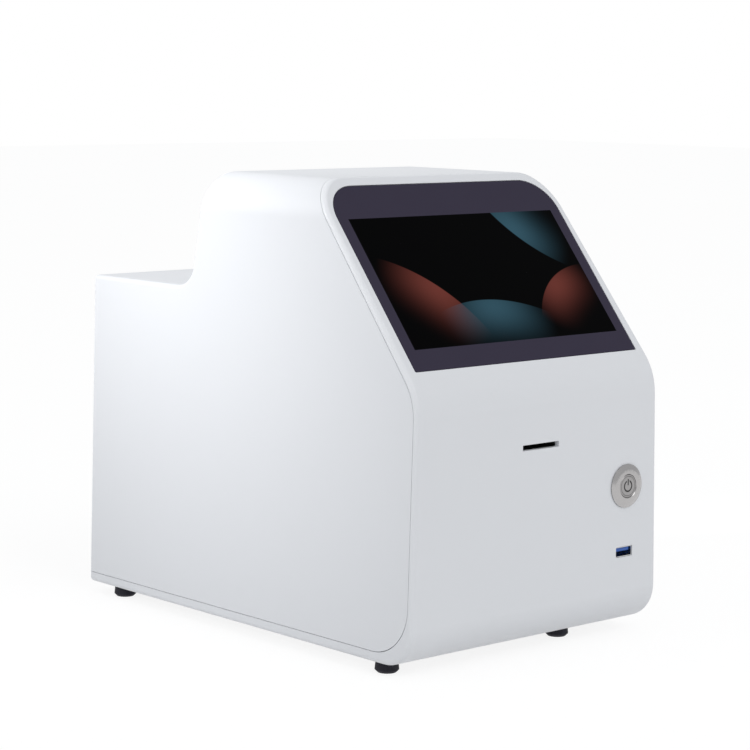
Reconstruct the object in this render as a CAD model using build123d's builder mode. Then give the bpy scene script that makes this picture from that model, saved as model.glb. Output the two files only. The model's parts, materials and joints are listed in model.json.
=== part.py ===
from build123d import *

import os
from math import cos, radians, sin, tan

# Bench-top automated cell counter: moulded housing, touch display, slide stage, inverted optics.
# The frame has +Z up and +X to the right as seen from the front, which faces -Y. The origin is on
# the bench, under the middle of the bounding box. Most places are given as a height above the
# housing's underside and a depth behind its front face.
os.makedirs("parts", exist_ok=True)

# Housing, in millimetres
base_width = 192.6
side_draft = 1.4
body_height = 256.0
body_depth = 294.0
foot_height = 6.5
front_roll = 22.0
slant_angle = 39.5
slant_start = 145.6
slant_blend = 35.0
deck_height = 189.5
top_rear_depth = 186.5
rear_wall_lean = 9.0
deck_blend = 16.0
shoulder_radius = 23.0
edge_round = 2.8

# Shells and the seam between them
panel_thickness = 3.0
hood_wall = 2.8
lip_height = 6.0
lip_width = 3.0
tray_floor = 3.0
tray_joint = 20.0
seam_corner = 27.0
seam_gap = 0.3
running_gap = 0.05
fit_gap = 0.03
panel_rib = 1.6
panel_rib_depth = 4.0
tongue_left_gap = 26.3
tongue_right_gap = 74.3
tongue_thickness = 2.4
tongue_overlap = 10.0
hook_length = 9.0
hook_thickness = 1.8
hook_tall = 12.0
hook_rise = 27.0
hook_drop = 27.6
left_rib_insets = (26.3, 46.3)
part_corner = 1.5
plate_corner = 3.0
sheet_corner = 1.0

# Screws
screw_radius = 1.5
screw_head = 2.9
screw_head_height = 1.8
screw_reach = 4.0
pilot_gap = 0.05
boss_radius = 4.0
boss_height = 6.0

# Display on the slanted face; distances run up the slope from the bend line
glass_start = 16.0
glass_end = 5.674
glass_side = 10.9
glass_corner = 21.0
glass_low_corner = 1.0
glass_thickness = 1.8
glass_gap = 0.25
tape_thickness = 0.3
tape_margin = 0.8
border_side = 6.4
border_low = 12.4
border_high = 21.0
display_side = 1.0
display_end = 5.0
display_thickness = 5.6
driver_side_gap = 13.0
driver_end_gap = 1.5
driver_thickness = 1.6
driver_chip = 9.0
bracket_sheet = 1.5
bracket_overhang = 6.5
bracket_end_gap = 4.8
bracket_flange = 5.0
bracket_side_strip = 30.5
bracket_end_strip = 13.0
post_radius = 3.2
post_side_inset = 3.1
post_end_inset = 8.0

# Push button
button_side = 27.7
button_height = 82.1
head_radius = 12.5
head_proud = 2.0
bevel_width = 3.0
bevel_rise = 1.3
barrel_radius = 11.0
barrel_gap = 0.15
barrel_length = 16.0
plunger_radius = 6.7
plunger_inset = 0.3
plunger_length = 6.6
plunger_travel = 2.0
stem_radius = 2.4
stem_web = 3.0
mouth_chamfer = 0.35
seal_thickness = 0.3
seal_margin = 0.4
nut_across = 27.0
nut_thickness = 4.0
contact_radius = 9.5
contact_length = 7.6
contact_flat = 7.5
terminal_length = 3.6
terminal_spacing = 4.0
terminal_width = 0.8
terminal_tall = 2.8

# Slide slot
slot_x = -0.8
slot_height = 111.7
slot_width = 28.0
slot_opening = 3.2
guide_width = 34.0
guide_tall = 13.0
guide_length = 12.0
guide_flange = 3.0
guide_flange_width = 48.0
guide_funnel = 0.6
slide_width = 25.4
slide_thickness = 2.0
slide_clearance = 0.4

# Data socket in the front
socket_side = 28.0
socket_height = 44.1
socket_cut_width = 13.6
socket_cut_tall = 6.2
socket_corner = 0.8
socket_shell_corner = 0.6
socket_inner_corner = 0.3
socket_margin = 0.2
socket_wall = 0.4
socket_inset = 0.5
socket_length = 14.0
blade_tall = 1.9
blade_side_gap = 0.8
blade_rise = 1.1
blade_inset = 1.2
socket_base = 3.0
socket_board_width = 26.0
socket_board_length = 21.0
board_thickness = 1.6
shelf_thickness = 2.4
shelf_margin = 1.5

# Feet
foot_radius = 6.7
foot_top_radius = 6.2
foot_round = 1.5
foot_floor = 2.9
foot_left_side = 10.3
foot_front_right_side = 51.3
foot_rear_right_side = 12.3
foot_front_depth = 29.5
foot_rear_inset = 24.0

# Hood columns and their screws
hood_column_side = 6.3
hood_column_height = 24.0
hood_column_front = 62.0
hood_column_rear = 58.0
hood_screw_recess = 3.0
hood_screw_reach = 12.0

# Chassis plate
chassis_thickness = 3.0
chassis_side = 14.3
chassis_front = 30.0
chassis_rear_gap = 18.0
chassis_corner = 4.0
chassis_screw_side = 6.0
chassis_screw_front = 46.0
chassis_screw_middle = 148.0
chassis_screw_rear = 5.0
cable_slot_side = 20.0
cable_slot_depth = 100.0
cable_slot_width = 16.0
cable_slot_length = 44.0
cable_slot_corner = 5.0

# Slide stage
axis_depth = 88.0
stage_top = 92.0
stage_plate = 6.0
stage_left = -46.0
stage_right = 56.0
stage_front = 28.0
rail_end_gap = 4.0
leg_thickness = 6.0
objective_window = 17.0
rail_offset = 26.0
rail_width = 7.0
rail_height = 4.5
rail_inset = 2.0
rail_groove = 0.6
runner_width = 17.0
runner_length = 19.0
runner_top = 8.0
runner_lift = 1.0
carriage_width = 72.0
carriage_length = 56.0
carriage_front = 36.0
carriage_thickness = 5.0
stage_travel = 32.0
tray_width = 34.0
tray_length = 78.0
tray_rim = 1.0
tray_gap = 2.0
light_width = 18.0
light_length = 40.0
light_start = 34.0
clamp_sheet = 0.5
clamp_width = 5.0
clamp_foot = 8.0
clamp_reach = 26.0
clamp_lift = 1.4
screw_x = 45.2
screw_height = 102.5
thread_radius = 4.0
journal_radius = 3.0
shaft_radius = 2.5
bearing_length = 8.0
bearing_width = 16.0
nut_block_length = 8.0
nut_block_width = 18.0
nut_block_tall = 15.0
nut_block_start = 24.0
motor_plate = 5.0
stage_motor_size = 28.0
stage_motor_length = 32.0
coupling_radius = 6.0
coupling_length = 14.0
coupling_gap = 2.0
coupling_slit = 1.0

# Optics
column_width = 50.0
column_front = 131.0
column_thickness = 10.0
arm_underside = 168.0
arm_thickness = 10.0
arm_front = 66.0
column_foot = 26.0
column_foot_height = 6.0
gusset = 20.0
lamp_radius = 18.0
lamp_length = 46.0
lamp_bore = 13.0
lamp_bore_depth = 28.0
lamp_mouth = 11.0
lamp_ledge = 2.0
lamp_groove = 3.0
lamp_groove_count = 4
condenser_gap = 0.1
condenser_edge = 2.0
condenser_crown = 4.0
focus_rail_width = 12.0
focus_rail_depth = 5.0
focus_rail_below = 11.0
focus_rail_above = 9.0
focus_block_width = 32.0
focus_block_low = 36.0
focus_block_high = 68.0
focus_block_depth = 8.0
focus_wrap = 3.0
focus_travel = 3.0
focus_arm_low = 50.0
focus_arm_height = 11.0
focus_arm_width = 18.0
tube_radius = 12.0
tube_wall = 2.0
tube_low = 40.0
tube_high = 74.0
collar_wall = 5.0
objective_radius = 10.5
objective_tip = 6.0
objective_length = 21.0
objective_taper = 9.0
objective_stub = 4.0
front_lens_radius = 3.5
camera_size = 29.0
camera_height = 24.0
camera_window = 8.0
focus_screw_x = 25.2
focus_screw_depth = 118.0
focus_thread_radius = 3.0
focus_journal_radius = 2.4
focus_shaft_radius = 2.0
focus_motor_size = 20.0
focus_motor_length = 28.0
focus_coupling_low = 42.0
focus_coupling_high = 54.0
focus_coupling_radius = 5.0
focus_nut_low = 60.0
focus_nut_radius = 5.5
focus_ear_width = 17.0
focus_bearing_gap = 8.0
focus_bearing_height = 6.0
focus_bearing_width = 22.0

# Electronics
board_gap = 10.0
board_front = 160.0
board_rear_gap = 26.0
standoff_radius = 3.0
standoff_height = 6.0
standoff_inset = 5.0
chip_size = 20.0
chip_thickness = 1.4
cooler_size = 40.0
cooler_height = 14.0
cooler_base = 3.0
cooler_fins = 7
fin_thickness = 1.4
memory_width = 9.0
memory_length = 11.0
memory_inset = 8.0
memory_start = 22.0
memory_pitch = 16.0
connector_width = 14.0
connector_length = 9.0
connector_height = 8.0
connector_inset = 22.0
connector_rear = 8.0
connector_pitch = 20.0
capacitor_radius = 4.0
capacitor_height = 10.0
capacitor_inset = 7.0
capacitor_start = 18.0
capacitor_pitch = 12.0
capacitor_count = 3
supply_width = 52.0
supply_side = 2.0
supply_front = 160.0
supply_rear_gap = 36.0
supply_height = 36.0
supply_sheet = 1.2

# Rear panel and what it carries
rear_sheet = 1.5
opening_side = 22.3
opening_low = 18.0
opening_high = 170.0
opening_corner = 6.0
rear_overlap = 7.0
rear_side_overlap = 10.0
rear_screw_inset = 4.5
rear_screw_heights = (34.0, 94.0, 154.0)
fan_side = 40.0
fan_height = 118.0
fan_size = 60.0
fan_depth = 15.0
fan_bore = 28.0
fan_corner = 4.0
fan_hole_pitch = 50.0
fan_cup_radius = 11.5
fan_cup_depth = 4.0
fan_strut = 3.0
rotor_start = 4.6
rotor_length = 9.6
hub_radius = 11.0
axle_radius = 1.5
blade_count = 7
blade_tip_gap = 0.8
blade_thickness = 1.2
blade_chord = 11.0
blade_root_pitch = 50.0
blade_tip_pitch = 30.0
grille_radii = (25.5, 20.0, 14.5)
grille_slot = 3.4
grille_spoke = 3.0
vent_width = 3.0
vent_length = 40.0
vent_pitch = 6.4
vent_count = 9
vent_height = 52.0
inlet_side = 28.0
inlet_height = 50.0
inlet_flange_width = 32.0
inlet_flange_tall = 26.0
inlet_flange = 2.2
inlet_wall = 1.8
inlet_depth = 20.0
inlet_cavity_width = 24.0
inlet_cavity_tall = 16.4
inlet_cavity_depth = 16.5
inlet_chamfer = 4.5
pin_spacing = 7.0
pin_thickness = 2.0
pin_tall = 4.0
pin_reach = 15.0
pin_tail = 6.0
earth_rise = 2.0
switch_height = 86.0
switch_flange_width = 15.0
switch_flange_tall = 21.0
switch_flange = 1.6
switch_body_width = 12.8
switch_body_tall = 18.8
switch_body_depth = 12.0
rocker_width = 9.6
rocker_radius = 8.2
rocker_tilt = 8.0
rocker_face = 3.3
rocker_gap = 0.25
rocker_sink = 2.8
pivot_radius = 1.2
pivot_length = 0.9

# Places across the width that follow from the sizes above
half_base = base_width / 2
glass_width = base_width - 2 * glass_side
window_width = glass_width - 2 * border_side
display_width = window_width + 2 * display_side
bracket_width = display_width + 2 * bracket_overhang
bracket_window_width = bracket_width - 2 * bracket_side_strip
driver_width = bracket_window_width - 2 * driver_side_gap
post_x = bracket_width / 2 - post_side_inset
button_x = half_base - button_side
socket_x = half_base - socket_side
hood_column_x = half_base - hood_column_side
chassis_half_width = half_base - chassis_side
chassis_screw_x = chassis_half_width - chassis_screw_side
supply_right = chassis_half_width - supply_side
supply_left = supply_right - supply_width
board_right = supply_left - board_gap
board_left = -chassis_half_width
opening_half_width = half_base - opening_side
fan_x = fan_side - opening_half_width
inlet_x = opening_half_width - inlet_side

# Planes and places along the depth and height
front_y = head_proud - (body_depth + head_proud) / 2
slope_sin = sin(radians(slant_angle))
slope_cos = cos(radians(slant_angle))
top_front_depth = (body_height - slant_start) * tan(radians(slant_angle))
wall_foot_depth = top_rear_depth + (body_height - deck_height) * tan(radians(rear_wall_lean))
slope_length = (body_height - slant_start) / slope_cos
glass_length = slope_length - glass_start - glass_end
glass_mid = glass_start + glass_length / 2
window_start = glass_start + border_low
window_length = glass_length - border_low - border_high
window_mid = window_start + window_length / 2
display_length = window_length + 2 * display_end
bracket_length = display_length - 2 * bracket_end_gap
bracket_window_length = bracket_length - 2 * bracket_end_strip
driver_length = bracket_window_length - 2 * driver_end_gap
post_spacing = bracket_length - 2 * post_end_inset
bracket_depth = panel_thickness + display_thickness
socket_board_top = socket_height - socket_cut_tall / 2 + socket_margin
chassis_low = tray_floor + boss_height
chassis_top = chassis_low + chassis_thickness
tray_front = panel_thickness + guide_length + tray_gap
slide_floor = slot_height - slide_thickness / 2
stage_rear = carriage_front + carriage_length + stage_travel + rail_end_gap
carriage_low = stage_top + runner_top
carriage_top = carriage_low + carriage_thickness
carriage_side = slot_x + carriage_width / 2
focus_rail_low = focus_block_low - focus_travel - focus_rail_below
focus_rail_high = focus_block_high + focus_travel + focus_rail_above
focus_bearing_low = focus_block_high + focus_travel + focus_bearing_gap
thread_start = stage_front + bearing_length
coupling_end = stage_rear - coupling_gap
coupling_start = coupling_end - coupling_length
board_low = chassis_top + standoff_height
board_top = board_low + board_thickness
rear_face = body_depth - hood_wall
rear_inside = rear_face - rear_sheet
rocker_axis = rear_face - rocker_sink
foot_rear_depth = body_depth - foot_rear_inset
hood_column_depths = (hood_column_front, body_depth - hood_column_rear)
chassis_rear = body_depth - chassis_rear_gap
chassis_screw_depths = (chassis_screw_front, chassis_screw_middle, chassis_rear - chassis_screw_rear)
board_rear = body_depth - board_rear_gap
supply_rear = body_depth - supply_rear_gap


def level(height):
    """Horizontal plane at a height above the housing's underside; local x, y are X and depth."""
    return Plane(origin=(0, front_y, foot_height + height), x_dir=(1, 0, 0), z_dir=(0, 0, 1))


def station(depth):
    """Upright plane facing the front at a depth; local x, y are X and height."""
    return Plane(origin=(0, front_y + depth, foot_height), x_dir=(1, 0, 0), z_dir=(0, -1, 0))


def section(x):
    """Upright plane across the width at X; local x, y are depth and height."""
    return Plane(origin=(x, front_y, foot_height), x_dir=(0, 1, 0), z_dir=(1, 0, 0))


def slope(depth):
    """Plane parallel to the slanted face, a depth inside it; local x, y are X and slope distance."""
    origin = (0, front_y + depth * slope_cos, foot_height + slant_start - depth * slope_sin)
    return Plane(origin=origin, x_dir=(1, 0, 0), z_dir=(0, -slope_cos, slope_sin))


def body_outline():
    """Side view of the housing as corner points and corner radii."""
    points = [
        (0, 0),
        (0, slant_start),
        (top_front_depth, body_height),
        (top_rear_depth, body_height),
        (wall_foot_depth, deck_height),
        (body_depth, deck_height),
        (body_depth, 0),
    ]
    radii = [front_roll, slant_blend, 0, 0, deck_blend, 0, 0]
    return points, radii


def housing_envelope(inset=0.0):
    """Side view run across the width, cut to the drafted front view with rolled shoulders."""
    points, radii = body_outline()
    half_high = half_base - body_height * tan(radians(side_draft))
    front_view = [(-half_base, 0), (-half_high, body_height), (half_high, body_height), (half_base, 0)]
    with BuildPart() as envelope:
        with BuildSketch(section(-base_width)):
            with BuildLine():
                FilletPolyline(*points, radius=radii, close=True)
            make_face()
            if inset:
                offset(amount=-inset, kind=Kind.INTERSECTION)
        extrude(amount=2 * base_width)
        with BuildSketch(station(0)):
            with BuildLine():
                FilletPolyline(*front_view, radius=[0, shoulder_radius, shoulder_radius, 0], close=True)
            make_face()
            if inset:
                offset(amount=-inset, kind=Kind.INTERSECTION)
        extrude(amount=-2 * body_depth, mode=Mode.INTERSECT)
    return envelope.part


def is_sharp(edge):
    """True for an edge of the envelope that is a real corner, not the end of a blend."""
    place = edge.center()
    run = edge.tangent_at(0.5)
    depth = place.Y - front_y
    height = place.Z - foot_height
    if edge.geom_type == GeomType.LINE and abs(run.X) > 0.999:
        points, radii = body_outline()
        return any(
            abs(depth - point[0]) < 0.01 and abs(height - point[1]) < 0.01 and radius == 0
            for point, radius in zip(points, radii)
        )
    if edge.geom_type == GeomType.LINE and abs(run.Y) > 0.999:
        return height < deck_height + 1
    return True


def behind_panel(clearance):
    """Side view of all that lies behind the front panel and above the base lip."""
    back = panel_thickness + clearance
    bend = slant_start - back * tan(radians(slant_angle / 2))
    far = body_height
    top = (back + far * slope_sin / slope_cos, bend + far)
    with BuildSketch(section(-base_width)) as region:
        with BuildLine():
            FilletPolyline(
                (back, lip_height + clearance),
                (back, bend),
                top,
                (2 * body_depth, top[1]),
                (2 * body_depth, lip_height + clearance),
                radius=[seam_corner, slant_blend - back, 0, 0, 0],
                close=True,
            )
        make_face()
    return region.sketch


def half_width_at(height):
    """Half the width of the drafted housing at a height."""
    return half_base - height * tan(radians(side_draft))


def slab(plane, centre, size, amount, mode=Mode.ADD, corner=0.0):
    """Rectangle at a centre on a plane, extruded, with rounded corners if given."""
    with BuildSketch(plane) as outline:
        with Locations(centre):
            if corner:
                RectangleRounded(*size, corner)
            else:
                Rectangle(*size)
    extrude(outline.sketch, amount=amount, mode=mode)


def discs(plane, places, radius, amount, mode=Mode.ADD):
    """Circles at places on a plane, extruded: bosses, shafts and holes."""
    with BuildSketch(plane) as outline:
        with Locations(*places):
            Circle(radius)
    extrude(outline.sketch, amount=amount, mode=mode)


def turned(plane, points, axis):
    """Closed profile on a plane, revolved about an axis that lies in it."""
    with BuildSketch(plane) as profile:
        with BuildLine():
            Polyline(*points, close=True)
        make_face()
    revolve(profile.sketch, axis=axis)


def screws_on(plane, places, reach):
    """Pan-head screws on a plane whose normal points away from what they fasten."""
    discs(plane, places, screw_head, screw_head_height)
    with BuildSketch(plane) as shanks:
        with Locations(*places):
            Circle(screw_radius)
    extrude(shanks.sketch, amount=-reach)


def flipped(plane):
    """The same plane seen from its other side, with the same local x."""
    return Plane(origin=plane.origin, x_dir=plane.x_dir, z_dir=-plane.z_dir)


def save(name, builder):
    """Label a finished piece and write its file."""
    builder.part.label = name
    export_step(builder.part, f"parts/{name}.step")


# Housing envelope, rounded along every outer corner
with BuildPart() as outer_body:
    add(housing_envelope())
    fillet([edge for edge in outer_body.edges() if is_sharp(edge)], radius=edge_round)

panel_region = behind_panel(0)
hood_region = behind_panel(seam_gap)
tray_zone_middle = (0, (tray_joint + body_depth) / 2)
tray_zone_size = (2 * base_width, body_depth - tray_joint)
tray_zone_height = lip_height + seam_corner

# Hood: one moulded cover over the top, sides, step and back, on four screw columns
hood_columns = [(side * hood_column_x, depth) for side in (-1, 1) for depth in hood_column_depths]
rear_screw_x = opening_half_width + rear_side_overlap - rear_screw_inset
rear_screw_places = [(side * rear_screw_x, height) for side in (-1, 1) for height in rear_screw_heights]
opening_middle = (0, (opening_low + opening_high) / 2)
with BuildPart() as hood:
    add(outer_body.part)
    extrude(hood_region, amount=2 * base_width, mode=Mode.INTERSECT)
    add(housing_envelope(hood_wall), mode=Mode.SUBTRACT)
    column_plane = level(lip_height + seam_gap)
    discs(column_plane, hood_columns, boss_radius, hood_column_height)
    discs(column_plane, hood_columns, screw_radius + pilot_gap, hood_screw_reach, Mode.SUBTRACT)
    opening_size = (2 * opening_half_width, opening_high - opening_low)
    slab(station(body_depth), opening_middle, opening_size, 2 * hood_wall, Mode.SUBTRACT, opening_corner)
    rear_plane = station(body_depth)
    discs(rear_plane, rear_screw_places, screw_radius + pilot_gap, 2 * hood_wall, Mode.SUBTRACT)
    discs(rear_plane, rear_screw_places, screw_head + seam_gap, screw_head_height, Mode.SUBTRACT)
save("hood", hood)


def glass_outline(clearance, depth=0.0):
    """Outline of the cover glass: large round corners above, nearly sharp ones below."""
    with BuildSketch(slope(depth)) as outline:
        with Locations((0, glass_mid)):
            Rectangle(glass_width + 2 * clearance, glass_length + 2 * clearance)
        fillet(outline.vertices().group_by(Axis.Y)[-1], glass_corner + clearance)
        fillet(outline.vertices().group_by(Axis.Y)[0], glass_low_corner)
    return outline.sketch


# Front panel: 3 mm skin that wraps the front roll, with posts, ribs, hooks and the socket shelf
bracket_posts = [
    (side * post_x, window_mid + shift)
    for side in (-1, 1)
    for shift in (-post_spacing / 2, post_spacing / 2)
]
guide_screws = [(slot_x + side * (guide_width + guide_flange_width) / 4, slot_height) for side in (-1, 1)]
socket_screw_depth = panel_thickness + socket_board_length - boss_radius
socket_screws = [
    (socket_x + side * (socket_board_width / 2 - screw_head), socket_screw_depth) for side in (-1, 1)
]
shelf_top = socket_board_top - board_thickness
through = panel_thickness + 1
with BuildPart() as front_panel:
    add(outer_body.part)
    extrude(panel_region, amount=2 * base_width, mode=Mode.SUBTRACT)
    slab(level(0), tray_zone_middle, tray_zone_size, tray_zone_height, Mode.SUBTRACT)
    # Stepped pocket for the glass, with the display window through its floor
    extrude(glass_outline(glass_gap), amount=-(glass_thickness + tape_thickness), mode=Mode.SUBTRACT)
    slab(slope(0), (0, window_mid), (window_width, window_length), -through, Mode.SUBTRACT)
    # Slide slot, button hole and socket hole
    slab(station(0), (slot_x, slot_height), (slot_width, slot_opening), -through, Mode.SUBTRACT)
    button_place = (button_x, button_height)
    discs(station(0), [button_place], barrel_radius + barrel_gap, -through, Mode.SUBTRACT)
    socket_place = (socket_x, socket_height)
    socket_cut = (socket_cut_width, socket_cut_tall)
    slab(station(0), socket_place, socket_cut, -through, Mode.SUBTRACT, socket_corner)
    # Posts for the display bracket
    discs(slope(panel_thickness), bracket_posts, post_radius, -display_thickness)
    discs(slope(bracket_depth), bracket_posts, screw_radius + pilot_gap, screw_reach, Mode.SUBTRACT)
    # Blind holes for the slide guide's screws
    pilot = screw_radius + pilot_gap
    discs(station(panel_thickness), guide_screws, pilot, panel_thickness * 0.7, Mode.SUBTRACT)
    # Shelf for the data socket's board, on two gusset ribs
    shelf_length = socket_board_length + shelf_margin
    shelf_centre = (socket_x, shelf_top - shelf_thickness / 2)
    shelf_size = (socket_board_width + 2 * shelf_margin, shelf_thickness)
    slab(station(panel_thickness), shelf_centre, shelf_size, -shelf_length)
    shelf_low = shelf_top - shelf_thickness
    for side in (-1, 1):
        with BuildSketch(section(socket_x + side * socket_board_width / 2 - panel_rib / 2)) as gusset_rib:
            with BuildLine():
                Polyline(
                    (panel_thickness, shelf_low),
                    (panel_thickness + shelf_length * 0.8, shelf_low),
                    (panel_thickness, shelf_low - shelf_length * 0.5),
                    close=True,
                )
            make_face()
        extrude(gusset_rib.sketch, amount=panel_rib)
    discs(level(shelf_top), socket_screws, pilot, -shelf_thickness * 0.8, Mode.SUBTRACT)
    # Stiffening ribs on the flat lower front
    rib_low = lip_height + seam_corner
    rib_high = slant_start - slant_blend
    rib_middle = (rib_low + rib_high) / 2
    guide_right = slot_x + guide_flange_width / 2
    nut_left = button_x - nut_across / 2 / cos(radians(30))
    rib_places = [inset - half_base for inset in left_rib_insets] + [(guide_right + nut_left) / 2]
    for rib_x in rib_places:
        rib_size = (panel_rib, rib_high - rib_low)
        slab(station(panel_thickness), (rib_x, rib_middle), rib_size, -panel_rib_depth)
    # Hooks that slip inside the hood's side walls
    for hook_height in (rib_low + hook_rise, slant_start - hook_drop):
        hook_x = half_width_at(hook_height) - hood_wall - 2 * seam_gap - hook_thickness / 2
        for side in (-1, 1):
            hook_centre = (side * hook_x, hook_height)
            slab(station(panel_thickness), hook_centre, (hook_thickness, hook_tall), -hook_length)
    # Tongue that lies on the tray's floor
    tongue_middle = (tongue_left_gap - tongue_right_gap) / 2
    tongue_centre = (tongue_middle, tray_floor + tongue_thickness / 2)
    tongue_size = (base_width - tongue_left_gap - tongue_right_gap, tongue_thickness)
    slab(station(tray_joint - tongue_overlap / 2), tongue_centre, tongue_size, -1.5 * tongue_overlap)
save("front_panel", front_panel)

# Base tray: floor and low lip under the hood, with bosses for feet, columns and chassis
foot_places = {
    "foot_front_left": (foot_left_side - half_base, foot_front_depth),
    "foot_front_right": (half_base - foot_front_right_side, foot_front_depth),
    "foot_rear_left": (foot_left_side - half_base, foot_rear_depth),
    "foot_rear_right": (half_base - foot_rear_right_side, foot_rear_depth),
}
chassis_screw_places = [
    (side * chassis_screw_x, depth) for side in (-1, 1) for depth in chassis_screw_depths
]
with BuildPart() as base_tray:
    add(outer_body.part)
    extrude(panel_region, amount=2 * base_width, mode=Mode.SUBTRACT)
    slab(level(0), tray_zone_middle, tray_zone_size, tray_zone_height, Mode.INTERSECT)
    pocket_rear = body_depth - lip_width
    pocket_centre = (0, (tray_joint + pocket_rear) / 2)
    pocket_size = (2 * (half_width_at(tray_floor) - lip_width), pocket_rear - tray_joint)
    slab(level(tray_floor), pocket_centre, pocket_size, 2 * lip_height, Mode.SUBTRACT)
    discs(level(tray_floor), foot_places.values(), boss_radius, boss_height)
    discs(level(tray_floor), chassis_screw_places, boss_radius, boss_height)
    discs(level(tray_floor), hood_columns, boss_radius + 1, lip_height - tray_floor)
    shank = screw_radius + pilot_gap
    discs(level(0), foot_places.values(), shank, chassis_low, Mode.SUBTRACT)
    discs(level(chassis_low), chassis_screw_places, shank, -boss_height, Mode.SUBTRACT)
    discs(level(0), hood_columns, shank, lip_height, Mode.SUBTRACT)
    discs(level(0), hood_columns, screw_head + seam_gap, hood_screw_recess, Mode.SUBTRACT)
    # Cooling slots under the electronics
    with BuildSketch(level(0)) as tray_vents:
        with Locations(((board_left + board_right) / 2, (board_front + board_rear) / 2)):
            with GridLocations(2 * vent_pitch, 0, vent_count // 2 + 1, 1):
                SlotOverall(vent_length, vent_width, rotation=90)
    extrude(tray_vents.sketch, amount=tray_floor, mode=Mode.SUBTRACT)
save("base_tray", base_tray)

# Rubber feet, turned with a recess for their screws
for foot_name, (foot_x, foot_depth) in foot_places.items():
    with BuildPart() as foot:
        turned(
            section(foot_x),
            [
                (foot_depth + screw_radius + pilot_gap, 0),
                (foot_depth + foot_top_radius, 0),
                (foot_depth + foot_radius, -foot_height + foot_round),
                (foot_depth + foot_radius - foot_round, -foot_height),
                (foot_depth + screw_head + seam_gap, -foot_height),
                (foot_depth + screw_head + seam_gap, -foot_floor),
                (foot_depth + screw_radius + pilot_gap, -foot_floor),
            ],
            Axis((foot_x, front_y + foot_depth, 0), (0, 0, 1)),
        )
    save(foot_name, foot)

with BuildPart() as foot_screws:
    foot_screw_places = [(x, -depth) for x, depth in foot_places.values()]
    screws_on(flipped(level(-foot_floor)), foot_screw_places, foot_floor + tray_floor + screw_reach)
save("foot_screws", foot_screws)

# Screws through the tray into the hood's columns, and through the chassis plate into its bosses
with BuildPart() as tray_screws:
    column_screw_places = [(x, -depth) for x, depth in hood_columns]
    screws_on(flipped(level(hood_screw_recess)), column_screw_places, hood_screw_reach)
    screws_on(level(chassis_top), chassis_screw_places, chassis_thickness + screw_reach)
save("tray_screws", tray_screws)

# Cover glass and the adhesive frame that holds it
with BuildPart() as cover_glass:
    extrude(glass_outline(0), amount=-glass_thickness)
    outward = Axis(slope(0).origin, slope(0).z_dir)
    chamfer(cover_glass.faces().sort_by(outward)[-1].edges(), tape_thickness)
save("cover_glass", cover_glass)

with BuildPart() as glass_tape:
    extrude(glass_outline(-tape_margin, glass_thickness), amount=-tape_thickness)
    tape_window = (window_width + 2 * tape_margin, window_length + 2 * tape_margin)
    slab(slope(glass_thickness), (0, window_mid), tape_window, -tape_thickness, Mode.SUBTRACT)
save("glass_tape", glass_tape)

# Display module with its driver board, and the sheet bracket that holds it to the panel
with BuildPart() as display_module:
    display_size = (display_width, display_length)
    slab(slope(panel_thickness), (0, window_mid), display_size, -display_thickness, corner=sheet_corner)
    driver_size = (driver_width, driver_length)
    slab(slope(bracket_depth), (0, window_mid), driver_size, -driver_thickness, corner=sheet_corner)
    for shift in (-driver_width / 3, 0, driver_width / 3):
        chip_place = (shift, window_mid - driver_length / 5)
        chip_plane = slope(bracket_depth + driver_thickness)
        slab(chip_plane, chip_place, (driver_chip, driver_chip), -chip_thickness)
save("display_module", display_module)

with BuildPart() as display_bracket:
    bracket_size = (bracket_width, bracket_length)
    slab(slope(bracket_depth), (0, window_mid), bracket_size, -bracket_sheet, corner=plate_corner)
    for side in (-1, 1):
        flange_place = (0, window_mid + side * (bracket_length - bracket_sheet) / 2)
        flange_size = (bracket_window_width, bracket_sheet)
        slab(slope(bracket_depth), flange_place, flange_size, -bracket_flange)
    bracket_window = (bracket_window_width, bracket_window_length)
    slab(slope(bracket_depth), (0, window_mid), bracket_window, -through, Mode.SUBTRACT, sheet_corner)
    discs(slope(bracket_depth), bracket_posts, screw_radius + pilot_gap, -through, Mode.SUBTRACT)
save("display_bracket", display_bracket)

# Push button: head and barrel, seal, plunger, nut and contact block
def on_button_axis(points):
    """Profile points given as (depth, radius), set on the button's axis."""
    return [(depth, button_height + radius) for depth, radius in points]


button_axis = Axis((button_x, 0, foot_height + button_height), (0, 1, 0))
bore = plunger_radius + running_gap
web_start = plunger_length + plunger_travel + 2 * seal_thickness
with BuildPart() as button_bezel:
    turned(
        section(button_x),
        on_button_axis(
            [
                (-head_proud + mouth_chamfer, bore),
                (-head_proud, bore + mouth_chamfer),
                (-head_proud, head_radius - bevel_width),
                (-head_proud + bevel_rise, head_radius),
                (-seal_thickness, head_radius),
                (-seal_thickness, barrel_radius),
                (barrel_length, barrel_radius),
                (barrel_length, bore),
                (web_start + stem_web, bore),
                (web_start + stem_web, stem_radius + running_gap),
                (web_start, stem_radius + running_gap),
                (web_start, bore),
            ]
        ),
        button_axis,
    )
save("button_bezel", button_bezel)

with BuildPart() as button_seal:
    discs(station(0), [button_place], head_radius - seal_margin, seal_thickness)
    discs(station(0), [button_place], barrel_radius + running_gap, seal_thickness, Mode.SUBTRACT)
save("button_seal", button_seal)

plunger_front = -head_proud + plunger_inset
stem_end = barrel_length + plunger_travel
with BuildPart() as button_plunger:
    turned(
        section(button_x),
        on_button_axis(
            [
                (plunger_front, 0),
                (plunger_front, plunger_radius - mouth_chamfer),
                (plunger_front + mouth_chamfer, plunger_radius),
                (plunger_length, plunger_radius),
                (plunger_length, stem_radius),
                (stem_end, stem_radius),
                (stem_end, 0),
            ]
        ),
        button_axis,
    )
save("button_plunger", button_plunger)

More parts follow.
